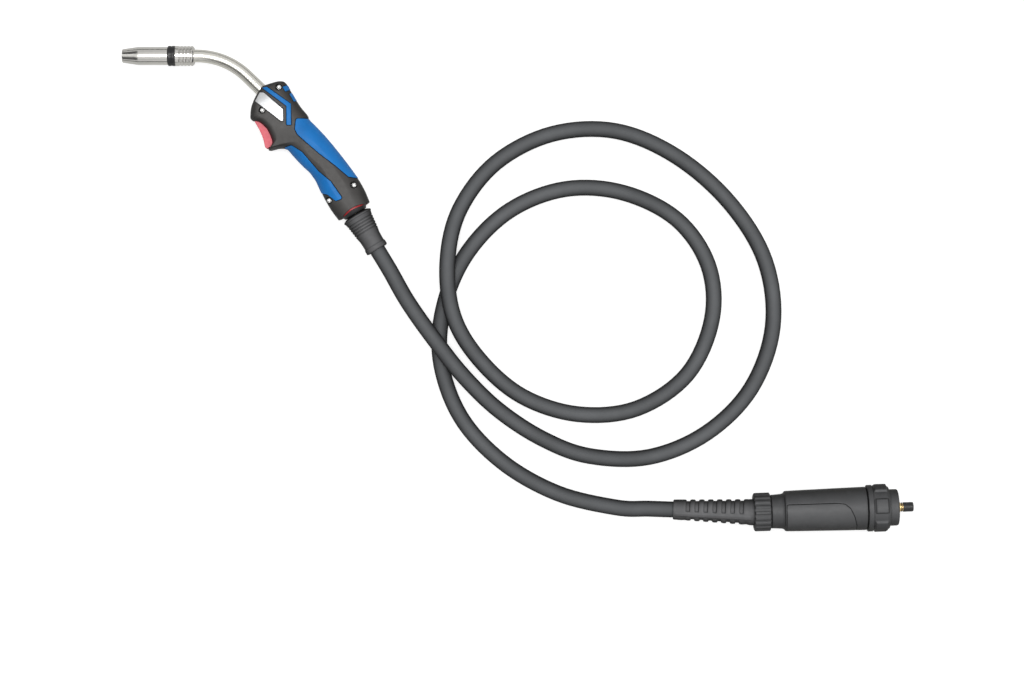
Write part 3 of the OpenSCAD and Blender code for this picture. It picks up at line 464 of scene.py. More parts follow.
# How far the cable leaves the boot and meets the relief in a straight line
STRAIGHT = 26
ROUTE = [swivel_end, swivel_end + STRAIGHT * SWIVEL_DIR] + [Vector(p) for p in [
    (92, -148, 22), (119, -186, 26), (150, -225, 24), (187, -261, 15), (233, -291, 9.4),
    (282, -309, CABLE_Z), (345, -310, CABLE_Z), (405, -285, CABLE_Z), (452, -238, CABLE_Z),
    (475, -173, CABLE_Z), (467, -104, CABLE_Z), (430, -43, CABLE_Z), (374, 6, CABLE_Z),
    (310, 33, CABLE_Z), (243, 30, CABLE_Z), (184, 0, 9.4), (146, -49, 15), (133, -104, 25),
    (139, -161, 26), (166, -207, 14), (211, -246, 9.2), (270, -265, CABLE_Z), (332, -259, CABLE_Z),
    (385, -223, CABLE_Z), (411, -165, CABLE_Z), (407, -108, CABLE_Z), (374, -60, CABLE_Z),
    (318, -32, CABLE_Z), (257, -28, CABLE_Z), (199, -50, CABLE_Z), (155, -93, CABLE_Z),
    (130, -147, CABLE_Z), (125, -206, CABLE_Z), (146, -267, CABLE_Z), (190, -315, CABLE_Z),
    (248, -348, 8.8), (310, -363, 11),
]] + [relief_end - STRAIGHT * RELIEF_DIR, relief_end]


def curve_points(route, steps):
    """A smooth curve through the places, each span a cubic set by its two neighbours."""
    pts = [2 * route[0] - route[1]] + route + [2 * route[-1] - route[-2]]
    out = []
    for i in range(1, len(pts) - 2):
        a, b, c, d = pts[i - 1:i + 3]
        for k in range(steps):
            t = k / steps
            out.append(0.5 * (2 * b + (c - a) * t + (2 * a - 5 * b + 4 * c - d) * t * t
                              + (3 * b - a - 3 * c + d) * t ** 3))
    out.append(route[-1].copy())
    return out


def ring_round(p, ahead, radius, sides):
    """A ring of points round p, square to the way ahead."""
    side = Vector((0, 0, 1)).cross(ahead).normalized()
    up = ahead.cross(side)
    turns = [2 * math.pi * j / sides for j in range(sides)]
    return [p + radius * (math.cos(a) * side + math.sin(a) * up) for a in turns]


def way_ahead(line, i):
    return (line[min(i + 1, len(line) - 1)] - line[max(i - 1, 0)]).normalized()


def sweep(name, line, radius, sides, ends):
    """A round rod along a line, with ends as its end directions, and its length. Its UV runs along it."""
    ways = [way_ahead(line, i) for i in range(len(line))]
    ways[0], ways[-1] = ends
    along = [0.0]
    for a, b in zip(line, line[1:]):
        along.append(along[-1] + (b - a).length)
    rings = [ring_round(p, way, radius, sides) for p, way in zip(line, ways)]
    return grid_mesh(name, rings, wrap=False, uvs=[d * MM for d in along]), along[-1]


# The cable runs on inside the boot and through the bend relief
into_boot = [swivel_end + d * SWIVEL_DIR for d in (-20, -14, -7)]
into_relief = [relief_end + d * RELIEF_DIR for d in (14, 28, 42, 56, 70, 82)]
cable_line = into_boot + curve_points(ROUTE, 8) + into_relief
cable_mesh, cable_len = sweep("power_cable_jacket", cable_line, CABLE_R, 32, (SWIVEL_DIR, RELIEF_DIR))
cable = seat(raw(cable_mesh, "power_cable_jacket"), Matrix.Identity(4))
dress(cable, "cable_set", "cable_rubber", M["jacket"], "power_cable")
print("cable length in metres:", round(cable_len * MM, 4))

# ---------- gun head ----------

nozzle_profile = fillet(dense([
    (8.0, 30.2), (9.35, 30.2), (9.35, 61), (9.2, 63), (7.15, 77.2), (6.95, 78), (5.95, 78), (5.9, 74),
    (8.0, 60),
], 2.0), 0.45, 3)
nozzle = lathe("nozzle_shell", nozzle_profile, HEAD, 96)
dress(nozzle, "nozzle", "nickel", M["nickel"], "gas_nozzle")


def lobes(count, depth, low, high):
    """Shallow flutes between two distances along a turned piece."""
    bore, run_out = 8, 0.8

    def shape(r, z, phi):
        if r < bore or z < low or z > high:
            return r
        fade = smoothstep(low, low + run_out, z) * smoothstep(high, high - run_out, z)
        return r - depth * fade * (0.5 + 0.5 * math.cos(count * phi)) ** 3
    return shape


ring_profile = fillet(dense([
    (6.75, 22.55), (10.2, 22.55), (10.6, 23.1), (10.6, 25.6), (10.15, 25.9), (10.15, 26.7), (10.6, 27.0),
    (10.6, 29.4), (10.2, 29.95), (6.75, 29.95),
], 1.2), 0.2, 3)
insulator = lathe("nozzle_ring", ring_profile, HEAD, 120, lobes(12, 0.28, 22.8, 29.6))
dress(insulator, "handle", "black_plastic", M["black"], "nozzle_insulator")

collar_points = [(6.75, 2.5), (8.6, 2.5), (9.3, 3.0), (10.4, 4.3)]
for i in range(4):
    z = 5.6 + i * 3.6
    collar_points += [(10.45, z), (9.75, z + 0.75), (9.75, z + 1.35), (10.45, z + 2.1)]
collar_points += [(10.45, 22.0), (10.1, 22.45), (6.75, 22.45)]
collar_profile = fillet(dense(collar_points, 0.9), 0.25, 3)
collar = lathe("neck_ribbed_collar", collar_profile, HEAD, 96, lobes(20, 0.16, 5.0, 21.5))
dress(collar, "handle", "nickel", M["nickel"], "neck_collar")


BEND_CENTRE = Vector((BEND_X, HEAD_Y - BEND_R, GUN_Z))
TAIL_DIR = Vector((math.cos(rad(BEND_ANGLE)), -math.sin(rad(BEND_ANGLE)), 0))


def on_bend(turn):
    """The place on the neck's centre where it has turned by so many radians."""
    return BEND_CENTRE + BEND_R * Vector((math.sin(turn), math.cos(turn), 0))


def neck_line(front, tail):
    """Places along the neck's centre: a straight front, the bend and a straight tail, in millimetres."""
    bends, steps = 40, 8
    before = [Vector((BEND_X - front * (1 - k / steps), HEAD_Y, GUN_Z)) for k in range(steps)]
    bend = [on_bend(rad(BEND_ANGLE) * k / bends) for k in range(bends + 1)]
    after = [bend[-1] + tail * (k + 1) / steps * TAIL_DIR for k in range(steps)]
    return before + bend + after


def pipe(name, line, outer, inner, sides):
    """A hollow tube along a level line: the rings of its outside, then those of its bore, backwards."""
    ways = [way_ahead(line, i) for i in range(len(line))]
    outside = [ring_round(p, way, outer, sides) for p, way in zip(line, ways)]
    bore = [ring_round(p, way, inner, sides) for p, way in zip(line, ways)]
    return raw(grid_mesh(name, outside + bore[::-1]), name)


NECK_BORE_R, NECK_FRONT, NECK_TAIL = 5.6, 42, 46
neck = pipe("swan_neck_tube", neck_line(NECK_FRONT, NECK_TAIL), NECK_R, NECK_BORE_R, 48)
seat(neck, Matrix.Identity(4))
dress(neck, "handle", "steel", M["neck"], "neck_outer_tube")

# ---------- handle: the outline tables of the source, along the handle and across it ----------

# Each pair is a distance along the handle and a distance across it, in millimetres
UPPER = [
    (-99, -2), (-97, 5), (-94, 13), (-90, 17), (-86, 17.5), (-78, 16.7), (-60, 15.7), (-47, 16.6),
    (-43, 15.2), (-35, 16.5), (-18, 19), (0, 20.5), (20, 21.5), (37, 21.8), (50, 20.6), (57, 19.2),
    (62.8, 17.8),
]
LOWER = [
    (-99, -8), (-96, -15), (-91.5, -22.8), (-88, -27.4), (-83.5, -31.4), (-78.3, -34.6), (-73.5, -32.5),
    (-70.5, -29.8), (-65, -28), (-59.5, -27.2), (-53.5, -28), (-48, -29.3), (-44, -31.4), (-42.3, -35.5),
    (-41.3, -38), (-39.6, -36.5), (-37.6, -30.7), (-33, -23.5), (-30, -20.9), (-22, -20), (-14, -19),
    (-3, -17), (4, -15.6), (11, -15.5), (23, -17.3), (36, -19.3), (51, -20.3), (62.8, -19.9),
]
# Half the thickness, and how far in the rounding of each edge reaches
HALF = [
    (-99, 8.6), (-97, 11.5), (-92, 15), (-84, 17), (-70, 17.8), (-50, 17.8), (-30, 18.6), (-10, 19.5),
    (25, 19.5), (45, 19.2), (62.8, 18.9),
]
LOW_ROUND = [(-99, 10), (-88, 12), (-78, 10), (-70, 8), (-46, 8), (-41, 7), (-30, 14), (-15, 17), (62.8, 19)]
HIGH_ROUND = [(-99, 10), (-90, 14), (-60, 16), (-40, 18), (62.8, 19)]
# The form's front and rear, a place past the rear, and its sharpest turns
HANDLE_FRONT, HANDLE_REAR, PAST_REAR = -99.0, 62.8, 64.8
SHARP_TURNS = (-42.3, -41.3, -78.3)
# Further than any edge of the handle or the connector
FAR = 60
# The rear end leans over from here on, within this length
LEAN_FROM, LEAN_WITHIN = 30, 32
REAR_LEAN = math.tan(rad(HANDLE_ANGLE - SWIVEL_ANGLE))


def smooth_table(table):
    """A smooth curve through a table that never overshoots it."""
    xs, ys = np.array([p[0] for p in table], float), np.array([p[1] for p in table], float)
    h, d = np.diff(xs), np.diff(ys) / np.diff(xs)
    m = np.zeros(len(xs))
    m[0], m[-1] = d[0], d[-1]
    for i in range(1, len(xs) - 1):
        if d[i - 1] * d[i] > 0:
            w1, w2 = 2 * h[i] + h[i - 1], h[i] + 2 * h[i - 1]
            m[i] = (w1 + w2) / (w1 / d[i - 1] + w2 / d[i])

    def at(x):
        x = min(max(x, xs[0]), xs[-1])
        i = min(int(np.searchsorted(xs, x, side="right")) - 1, len(h) - 1)
        t = (x - xs[i]) / h[i]
        return float((1 + 2 * t) * (1 - t) ** 2 * ys[i] + t * (1 - t) ** 2 * h[i] * m[i]
                     + t * t * (3 - 2 * t) * ys[i + 1] + t * t * (t - 1) * h[i] * m[i + 1])
    return at


upper_at, lower_at, half_at = smooth_table(UPPER), smooth_table(LOWER), smooth_table(HALF)
low_round_at, high_round_at = smooth_table(LOW_ROUND), smooth_table(HIGH_ROUND)


def rounding(gap, width):
    """How much of its full thickness the handle has at a gap from its edge, by a rounding of this width."""
    fullness = 2.2
    t = min(max(gap / width, 0.0), 1.0)
    return (1 - (1 - t) ** fullness) ** (1 / fullness)


def lean(s):
    return REAR_LEAN * min(max((s - LEAN_FROM) / LEAN_WITHIN, 0), 1)


def section(s, grow):
    """One cross-section of the handle, moved out by grow."""
    steps, flat, most = 14, 10, 0.49
    low, high = lower_at(s) - grow, upper_at(s) + grow
    low_width = min(low_round_at(s) + grow, most * (high - low))
    high_width = min(high_round_at(s) + grow, most * (high - low))
    half = half_at(s) + grow
    eased = [1 - math.cos(math.pi / 2 * k / steps) for k in range(steps + 1)]
    across = [low + low_width * e for e in eased]
    a, b = across[-1], high - high_width
    across += [a + (b - a) * k / flat for k in range(1, flat)]
    across += [high - high_width * e for e in reversed(eased)]
    zs = [half * rounding(v - low, low_width) * rounding(high - v, high_width) for v in across]
    zs[0] = zs[-1] = 0.0
    top = [(s + lean(s) * v, v, z) for v, z in zip(across, zs)]
    under = [(s + lean(s) * v, v, -z) for v, z in zip(across[1:-1], zs[1:-1])]
    return top + under[::-1]


def skin(name, grow, first=HANDLE_FRONT, last=HANDLE_REAR):
    """The handle's outer form, moved out by grow, as one closed mesh in the handle's own frame."""
    step = 1.2
    start = [first]
    if first <= HANDLE_FRONT:
        start = [first + d for d in (0, 0.25, 0.6, 1.0, 1.5, 2.1)]
    count = math.ceil((last - start[-1]) / step)
    along = start[:-1] + [start[-1] + (last - start[-1]) * k / count for k in range(count + 1)]
    along = sorted(set(along) | {x for x in SHARP_TURNS if first < x < last})
    mesh = grid_mesh(name, [section(s, grow) for s in along], wrap=False)
    return raw(outward(split_caps(mesh)), name)


# Outlines on the handle's flat side
BACK_GRIP = [
    (-50.5, 5), (-42, -2.5), (-36, -3.4), (-22, -0.2), (-6.5, 3.8), (14, 10.5), (31, 15), (38.5, 24),
    (38, 30), (-40, 30), (-43.5, 15.6),
]
FRONT_GRIP = [
    (-33, -22), (-30.5, -15), (-18, -9.8), (8.7, -7.2), (24, -2.8), (46.4, -2.8), (44, -10.6),
    (33.6, -13.7), (26, -20), (24, -30), (-30, -30),
]
LABEL = [(-95, -10.5), (-92, -6.9), (-66, -0.2), (-55.6, -7.2), (-57.1, -9.6), (-90, -19.8)]
STRIPE = [(-97.9, -6.05), (-95.9, -1.15), (-66.2, 9.6), (-47.5, -2.9), (-50.5, -7.15), (-66.8, 4.2)]
PATCHES = [
    [(-86, 12.2), (-80, 11.8), (-79.5, 20), (-85, 20)],
    [(-76.5, 14), (-66.5, 13), (-66.5, 20), (-76, 20)],
]
SLOT = [
    (-77, -30.5), (-74.4, -34), (-72, -48), (-43, -48), (-41.2, -38), (-41, -29), (-43, -20), (-60, -19.5),
    (-76, -21.5),
]
SLOT_HALF = 8.2
TRIGGER = [
    (-73, -32.6), (-64, -33.3), (-55.7, -34.9), (-50.4, -36.7), (-45.5, -38.9), (-43.4, -38.6),
    (-42.6, -35.5), (-42.6, -30), (-46, -26.5), (-52, -24.5), (-60, -24), (-70, -23), (-74, -22.8),
    (-77.6, -24.5), (-78.1, -28), (-76.6, -30.8),
]
TRIGGER_HALF = 7.6
# Each screw's place, and how high its head lies
SCREWS = [(-87.9, 9, 12), (-77.9, -18.8, 14.5), (40.8, 14.6, 12), (39, -15.8, 8.5)]
AT_PIN = Matrix.Translation((-74, -27, 0))
PIN_BORE_R = 2.05
SCOOP_R, SCOOP_AT = 32.9, 36.3
TO_HANDLE = HANDLE.inverted()
AT_NECK = TO_HANDLE @ axis_frame(on_bend(rad(BEND_ANGLE)), TAIL_DIR)
# The shells' wall, and how deep the pockets and the inlays in them reach under the skin
WALL, FRONT_WALL, POCKET, INLAY = 2.6, 3.5, 1.5, 1.4
# Half the line between the shells
LINE_HALF = 0.07


def grown(outline, by):
    """An outline moved outwards by a distance, in millimetres."""
    n = len(outline)
    sign = 1 if twice_area(outline) > 0 else -1
    out = []
    for i in range(n):
        a, p, b = (np.array(outline[k % n], float) for k in (i - 1, i, i + 1))
        before = (p - a) / max(np.linalg.norm(p - a), 1e-9)
        after = (b - p) / max(np.linalg.norm(b - p), 1e-9)
        out_before = np.array((before[1], -before[0])) * sign
        both = out_before + np.array((after[1], -after[0])) * sign
        out.append(tuple(p + by * both / max(float(both @ out_before), 0.35)))
    return out


def soft(outline):
    return fillet(outline, 2.5)


def crisp(outline):
    return fillet(outline, 0.8, 3)


def through(outline, by):
    """An outline, moved out by a distance, straight through the handle."""
    return prism("column", grown(outline, by), -FAR, FAR)


def half_space(side):
    """The space over or under the parting plane, less half of the fine line between the shells."""
    box = [(-200, -100), (200, -100), (200, 100), (-200, 100)]
    thick = 19.0
    return prism("half", box, LINE_HALF, thick) if side > 0 else prism("half", box, -thick, -LINE_HALF)


def bosses(side):
    """Pillars for the screws and lugs for the trigger's pin, kept under the skin."""
    low = 0 if side > 0 else -FAR
    parts = [rod("boss", 4.4, low, low + FAR, Matrix.Translation((u, v, 0)), 32) for u, v, _ in SCREWS]
    parts += [rod("lug", 5, start, start + FAR, AT_PIN, 32) for start in (SLOT_HALF, -SLOT_HALF - FAR)]
    return combine(joined(parts), [skin("cut", -1.8)], "INTERSECT")


def pockets():
    """Room for the grips, the plate and the stripe, down to a floor under the skin."""
    columns = [through(soft(o), 0.25) for o in (BACK_GRIP, FRONT_GRIP)]
    columns += [through(crisp(o), 0.2) for o in [LABEL, STRIPE] + PATCHES]
    return combine(joined(columns), [skin("floor", -POCKET, HANDLE_FRONT, PAST_REAR)], "DIFFERENCE")


def openings():
    """What is cut out of the shells for the neck, its clamp block, the trigger, the screws and the swivel."""
    cutters = [
        rod("neck", NECK_R + 0.15, 0, 52, AT_NECK),
        rod("block", 9.6, 30, 96, AT_NECK),
        prism("slot", SLOT, -SLOT_HALF, SLOT_HALF),
        rod("pin_bore", PIN_BORE_R, -13.1, 13.1, AT_PIN, 32),
    ]
    for u, v, top in SCREWS:
        at = Matrix.Translation((u, v, 0))
        cutters.append(rod("recess", 3.6, top - 2, FAR, at, 40))
        cutters.append(rod("hole", 1.45, 1 - top, FAR, at, 24))
    spin = TO_HANDLE @ SWIVEL_AT
    across = spin @ Matrix.Translation((0, 0, SCOOP_AT)) @ Matrix.Rotation(rad(90), 4, "Y")
    cutters.append(rod("seat", 16.75, -12, 88, spin, 96))
    cutters.append(rod("scoop", SCOOP_R, -FAR, FAR, across, 96))
    return cutters


def shell(side):
    """One half of the handle's shell, hollow, with its bosses, pockets and openings."""
    room = skin("room", -WALL, HANDLE_FRONT + FRONT_WALL, PAST_REAR)
    ob = combine(skin("handle_half_" + ("upper" if side > 0 else "lower"), 0), [room], "DIFFERENCE")
    combine(ob, [bosses(side)], "UNION")
    combine(ob, [pockets()] + openings(), "DIFFERENCE")
    combine(ob, [half_space(side)], "INTERSECT")
    return seat(moulded(ob, 0.38, 6, 0.25), HANDLE)


def inlay(name, side, outlines, proud, voxel, soften, keep):
    """A grip, stripe or plate in its pocket, which stands proud of the shell by a little."""
    ob = combine(skin(name, proud), [skin("floor", -INLAY, HANDLE_FRONT, PAST_REAR)], "DIFFERENCE")
    combine(ob, [joined([through(o, -0.12) for o in outlines])], "INTERSECT")
    combine(ob, [half_space(side)], "INTERSECT")
    return seat(moulded(ob, voxel, soften, keep), HANDLE)


for side, tag, word in ((1, "top", "upper"), (-1, "bottom", "lower")):
    dress(shell(side), "handle", "shell_plastic", M["shell"], "handle_shell_" + tag)
    back_grip = inlay("grip_rear_" + word, side, [soft(BACK_GRIP)], 0.45, 0.34, 7, 0.25)
    dress(back_grip, "handle", "blue_grip", M["grip"], "grip_back_" + tag)
    front_grip = inlay("grip_palm_" + word, side, [soft(FRONT_GRIP)], 0.45, 0.34, 7, 0.25)
    dress(front_grip, "handle", "blue_grip", M["grip"], "grip_front_" + tag)
    stripe = inlay("chevron_" + word, side, [crisp(o) for o in [STRIPE] + PATCHES], 0.2, 0.3, 4, 0.4)
    dress(stripe, "handle", "blue_grip", M["grip"], "accent_stripe_" + tag)
    plate = inlay("name_plate_" + word, side, [crisp(LABEL)], 0.12, 0.3, 2, 0.4)
    dress(plate, "handle", "label_silver", M["label"], "label_plate_" + tag)


def screw(top):
    """A countersunk socket screw with a rounded head that lies as high as top."""
    profile = [
        (0.01, top - 0.9), (1.15, top - 0.9), (1.3, top - 0.15), (1.75, top), (2.45, top - 0.2),
        (2.7, top - 0.7), (2.7, top - 1.95), (1.4, top - 1.95), (1.4, 1.5 - top), (0.01, 1.5 - top),
    ]
    socket_r, socket_floor = 1.5, top - 1.3
    sixth = math.pi / 3

    def six_sided(r, z, phi):
        if r >= socket_r or z <= socket_floor:
            return r
        return r * math.cos(sixth / 2) / math.cos(phi % sixth - sixth / 2)
    return turned("screw", fillet(profile, 0.18, 3), 48, six_sided)


def screws():
    """All the screws as one mesh."""
    bm = bmesh.new()
    for u, v, top in SCREWS:
        one = screw(top)
        one.data.transform(Matrix.Translation((u, v, 0)))
        bm.from_mesh(one.data)
        bpy.data.objects.remove(one)
    mesh = bpy.data.meshes.new("shell_screws")
    bm.to_mesh(mesh)
    bm.free()
    return seat(raw(mesh, "shell_screws"), HANDLE)


dress(screws(), "handle", "spring_steel", M["steel"], "handle_screws")


def trigger():
    """The trigger, with its bore and room for the spring, and with fine ridges across its face."""
    ob = prism("trigger_lever", dense(fillet(TRIGGER, 1.6, 5), 1.5), -TRIGGER_HALF, TRIGGER_HALF)
    cutters = [rod("bore", PIN_BORE_R, -20, 20, AT_PIN, 32), rod("room", 5, -2.5, 2.5, AT_PIN, 32)]
    ridges = 7
    for k in range(ridges):
        t = k / (ridges - 1)
        at = Matrix.Translation((-68 + 19 * t, -33.4 - 4.6 * t ** 1.6, 0))
        cutters.append(rod("ridge", 0.45, -5.2, 5.2, at, 16))
    combine(ob, cutters, "DIFFERENCE")
    return seat(moulded(ob, 0.28, 5, 0.3), HANDLE)


dress(trigger(), "trigger", "trigger_plastic", M["trigger"], "trigger")

# ---------- cable boot at the handle ----------

BOOT_BORE_R = 6.25
# Its mouth is hollow, so that it swings round the dome of the handle's socket
MOUTH_R = 16.1
boot_points = [(r, math.sqrt(MOUTH_R ** 2 - r * r)) for r in (BOOT_BORE_R, 7.5, 8.8, 10.0, 11.2, 12.2)]
boot_points += [(12.6, 10.4), (15.5, 11.9), (16.1, 12.7), (16.0, 13.6), (15.3, 14.4), (14.75, 16.6)]
for i in range(5):
    z, r = 17.8 + i * 3.1, 14.55 - 0.38 * i
    boot_points += [(r, z), (r - 0.65, z + 0.55), (r - 0.65, z + 0.95), (r - 0.1, z + 1.5)]
boot_points += [(12.25, 34.5), (11.6, 38), (11.4, 42), (11.35, 47.2), (12.1, 48.6), (12.15, 52.2)]
boot_points += [(11.6, 53.25), (8.45, 53.25), (8.45, 31.2), (BOOT_BORE_R, 31.2)]
boot = lathe("cable_boot_sleeve", fillet(dense(boot_points, 1.4), 0.5, 4), SWIVEL_AT, 96)
dress(boot, "cable_set", "boot_rubber", M["rubber"], "cable_boot")

# ---------- connector ----------

RELIEF_BORE_R = 8.45
SLOT_PITCH, SLOT_HALF_WIDTH = 9.35, 1.9
# The middle of each row of slots, in degrees round the relief, its first slot and how many there are
SLOT_ROWS = ((90, -68.3, 7), (270, -63.6, 6))
RELIEF_TURN = 26


def relief_shape(r, z, phi):
    """Staggered slots: seven on one side and six between them on the other, with solid bands between."""
    if r < 9.0 or z > -2:
        return r
    a = (math.degrees(phi) - RELIEF_TURN) % 360
    ends = smoothstep(-76, -70, z) * smoothstep(-3, -7, z)
    cut = 0.0
    for middle, first, count in SLOT_ROWS:
        beside = abs(a - middle)
        for i in range(count):
            away = abs(z - first - i * SLOT_PITCH)
            inside = smoothstep(SLOT_HALF_WIDTH + 0.4, SLOT_HALF_WIDTH - 0.4, away)
            cut = max(cut, inside * smoothstep(74, 66, beside))
        # Every rib is a rounded bead, highest half way between its slots
        wave = 0.5 + 0.5 * math.cos(2 * math.pi * (z - first) / SLOT_PITCH)
        r -= 0.55 * wave * smoothstep(82, 60, beside) * ends
    floor = 9.35 + 0.041 * (z + 70)
    r -= cut * max(0.0, r - floor)
    # A low rib along each solid band
    for rib in (0, 180):
        aside = abs((a - rib + 180) % 360 - 180) * 0.2
        r += 0.4 * smoothstep(2.6, 1.2, aside) * (1 - cut) * smoothstep(-83.5, -80, z)
    return r


# The relief widens evenly from its thin end
widening = [(10.5 + 3.4 * (z + 84) / 86, z) for z in np.arange(-83.2, 1.99, 0.42)]
relief_profile = [(RELIEF_BORE_R, -83.9), (9.8, -83.98), (10.3, -83.7)] + widening
relief_profile += [(13.75, 2.0), (RELIEF_BORE_R, 2.0)]
relief = lathe("bend_relief_sleeve", dense(relief_profile, 3.0), RELIEF_AT, 144, relief_shape)
dress(relief, "cable_set", "boot_rubber", M["rubber"], "connector_relief")


def nut_ribs(r, z, phi):
    """Twenty ribs along the clamping nut."""
    if r < 17.5:
        return r
    wave = (phi / (2 * math.pi) * 20) % 1.0
    rib = smoothstep(0.30, 0.20, min(wave, 1 - wave))
    fade = smoothstep(0.2, 1.2, z) * smoothstep(17.4, 16.4, z)
    return r + 0.95 * rib * fade


clamp_profile = fillet(dense([
    (9.0, 4.5), (14.6, 4.5), (14.6, 0.1), (18.4, 0.0), (19.1, 0.7), (19.15, 16.7), (18.6, 17.45),
    (9.0, 17.45),
], 1.0), 0.35, 3)
clamp = lathe("clamp_nut_ribbed", clamp_profile, PLUG_AT, 200, nut_ribs)
dress(clamp, "cable_set", "black_plastic", M["plug"], "relief_nut")

HOUSING_OUT = [
    (9.0, 17.62), (16.4, 17.62), (17.5, 18.5), (17.75, 23.0), (18.2, 29.2), (18.9, 31.2), (20.7, 32.4),
    (21.15, 33.6), (21.5, 50), (21.95, 75), (22.3, 95), (22.6, 115), (22.55, 116.8), (22.0, 117.95),
]
HOUSING_IN = [
    (12.45, 117.95), (12.45, 113.0), (19.8, 113.0), (18.3, 35), (15.2, 29), (15.0, 20.0), (9.0, 20.0),
]
# The cover's outline, by distance along the connector and across it, and the rounding of each corner
COVER = [(33.4, 7.5), (86, 7.5), (94, 6.6), (99.5, 1.5), (103.5, -7.5), (106, -17), (106.5, -34), (33.4, -34)]
COVER_ROUND = [2, 3, 6, 6, 6, 6, 1, 1]
COVER_GAP = 0.12
# The inner half of the wall, where a lip of the housing lies under the cover
LIP = [(16.9, 32), (18.1, 35), (19.6, 112.9), (20.9, 112.9), (19.4, 35), (18.2, 32)]
LIP_ROOM = [(16.7, 31.8), (17.9, 35), (19.4, 113.2), (21.1, 113.2), (19.6, 35), (18.4, 31.8)]
# The line between the two halves of the narrow end, and how deep it is cut
PARTING = [(17.0, 6.85), (33.0, 6.85), (33.0, 7.5), (17.0, 7.5)]
PARTING_FLOOR_R = 17.1


def round_plug(name, profile):
    """A closed profile of (radius, distance) turned round the connector's axis, not yet placed."""
    return turned(name, dense(profile, 1.6), 160)


def column(name, outline):
    """An outline of (distance along the connector, across it), straight through it along the part's Z."""
    ob = prism(name, outline, -FAR, FAR)
    # The prism's X, Y and Z become Z, Y and X
    ob.data.transform(Matrix(((0, 0, 1, 0), (0, 1, 0, 0), (1, 0, 0, 0), (0, 0, 0, 1))))
    # This turns the faces out, but for the two smallest of cover_column, which it turns in
    bm = bmesh.new()
    bm.from_mesh(ob.data)
    bmesh.ops.recalc_face_normals(bm, faces=bm.faces)
    bm.to_mesh(ob.data)
    bm.free()
    return ob


def cover_column(by):
    return column("cover_column", grown(fillet(COVER, COVER_ROUND, 5), by))


def moulded_plug(ob):
    return seat(moulded(ob, 0.42, 4, 0.3), PLUG_AT)


housing = round_plug("housing_body", HOUSING_OUT + HOUSING_IN)
combine(housing, [cover_column(COVER_GAP)], "DIFFERENCE")
# As its second column is inside out, the lip reaches under the whole cover, and not only under its edge
lip = combine(round_plug("lip", LIP), [cover_column(0.6)], "INTERSECT")
combine(housing, [combine(lip, [cover_column(-1.2)], "DIFFERENCE")], "UNION")
core = rod("core", PARTING_FLOOR_R, 10, 40, Matrix.Identity(4), 96)
combine(housing, [combine(column("parting", PARTING), [core], "DIFFERENCE")], "DIFFERENCE")
dress(moulded_plug(housing), "cable_set", "black_plastic", M["plug"], "connector_housing")
lid = round_plug("housing_lid", HOUSING_OUT + HOUSING_IN)
combine(lid, [cover_column(-COVER_GAP)], "INTERSECT")
lip_room = combine(round_plug("lip_room", LIP_ROOM), [cover_column(-1.4)], "DIFFERENCE")
combine(lid, [lip_room], "DIFFERENCE")
dress(moulded_plug(lid), "cable_set", "black_plastic", M["lid"], "housing_cover")

NUT_R, PAD_R, PAD_TURN = 23.4, 25.35, rad(-8)
# Half a pad's width of 16 mm, as a turn round the nut
PAD_HALF = math.asin(8 / 25.4)


def nut_pads(r, z, phi):
    """Six raised pads round the union nut."""
    if r < 20.5 or z < 124.6 or z > 140.9:
        return r
    sixth = math.pi / 3
    off = abs((phi - PAD_TURN + sixth / 2) % sixth - sixth / 2)
    across = smoothstep(PAD_HALF + 0.02, PAD_HALF - 0.035, off)
    length = smoothstep(125.3, 126.3, z) * smoothstep(139.8, 138.2, z)
    return r + (PAD_R - NUT_R) * across * length


union_points = [
    (12.7, 118.4), (23.7, 118.4), (24.35, 119.1), (24.35, 123.6), (23.5, 124.5), (NUT_R, 125.2),
    (NUT_R, 138.0), (22.6, 139.8), (21.8, 141.2), (19.2, 141.6), (19.1, 142.4), (19.1, 149.3),
    (18.6, 150.6), (18.1, 150.95), (18.0, 150.7), (18.0, 131.5), (17.0, 130.5), (17.0, 126.0),
    (12.7, 126.0),
]
union = lathe("union_nut_grip", fillet(dense(union_points, 0.8), 0.3, 3), PLUG_AT, 216, nut_pads)
dress(union, "nut", "black_plastic", M["plug"], "union_nut")

# ---------- carried-over parts get their materials ----------

CARRIED = {
    "copper": ["contact_tip", "neck_inner_tube"],
    "brass": ["tip_holder", "neck_clamp_block", "boot_core", "plug_conduit", "thread_insert", "power_pin",
              "contact_pin_a", "contact_pin_b"],
    "ceramic": ["gas_diffuser"],
    "steel": ["nozzle_spring", "neck_liner", "clamp_screws", "trigger_pin", "trigger_spring", "nut_clip",
              "contact_spring_a", "contact_spring_b"],
    "silicone": ["neck_insulation", "inner_lead", "switch_leads"],
    "black": ["microswitch", "ball_socket", "swivel_ball", "plug_body", "liner_nut", "pin_o_ring"],
    "pale": ["slip_ring", "contact_bush_a", "contact_bush_b"],
    "red": ["swivel_seal"],
    "trigger": ["switch_plunger"],
}
for key, names in CARRIED.items():
    for n in names:
        NODES[n].data.materials.clear()
        NODES[n].data.materials.append(M[key])

# ---------- the pieces that the cable carries, in a list ---

on_cable = [bpy.data.objects[n] for n in (
    "cable_boot_sleeve", "bend_relief_sleeve", "clamp_nut_ribbed", "housing_body", "housing_lid")]
on_cable += [NODES[n] for n in (
    "boot_core", "plug_conduit", "plug_body", "nut_clip", "thread_insert", "power_pin", "pin_o_ring",
    "liner_nut", "contact_bush_a", "contact_bush_b", "contact_pin_a", "contact_pin_b", "contact_spring_a",
    "contact_spring_b", "swivel_ball")]

# ---------- floor, light and background ----------


FLOOR_GLOW = 0.68
# How much of the glow polished metal mirrors, so that its edges keep the studio's grey
MIRRORED_GLOW = 0.15


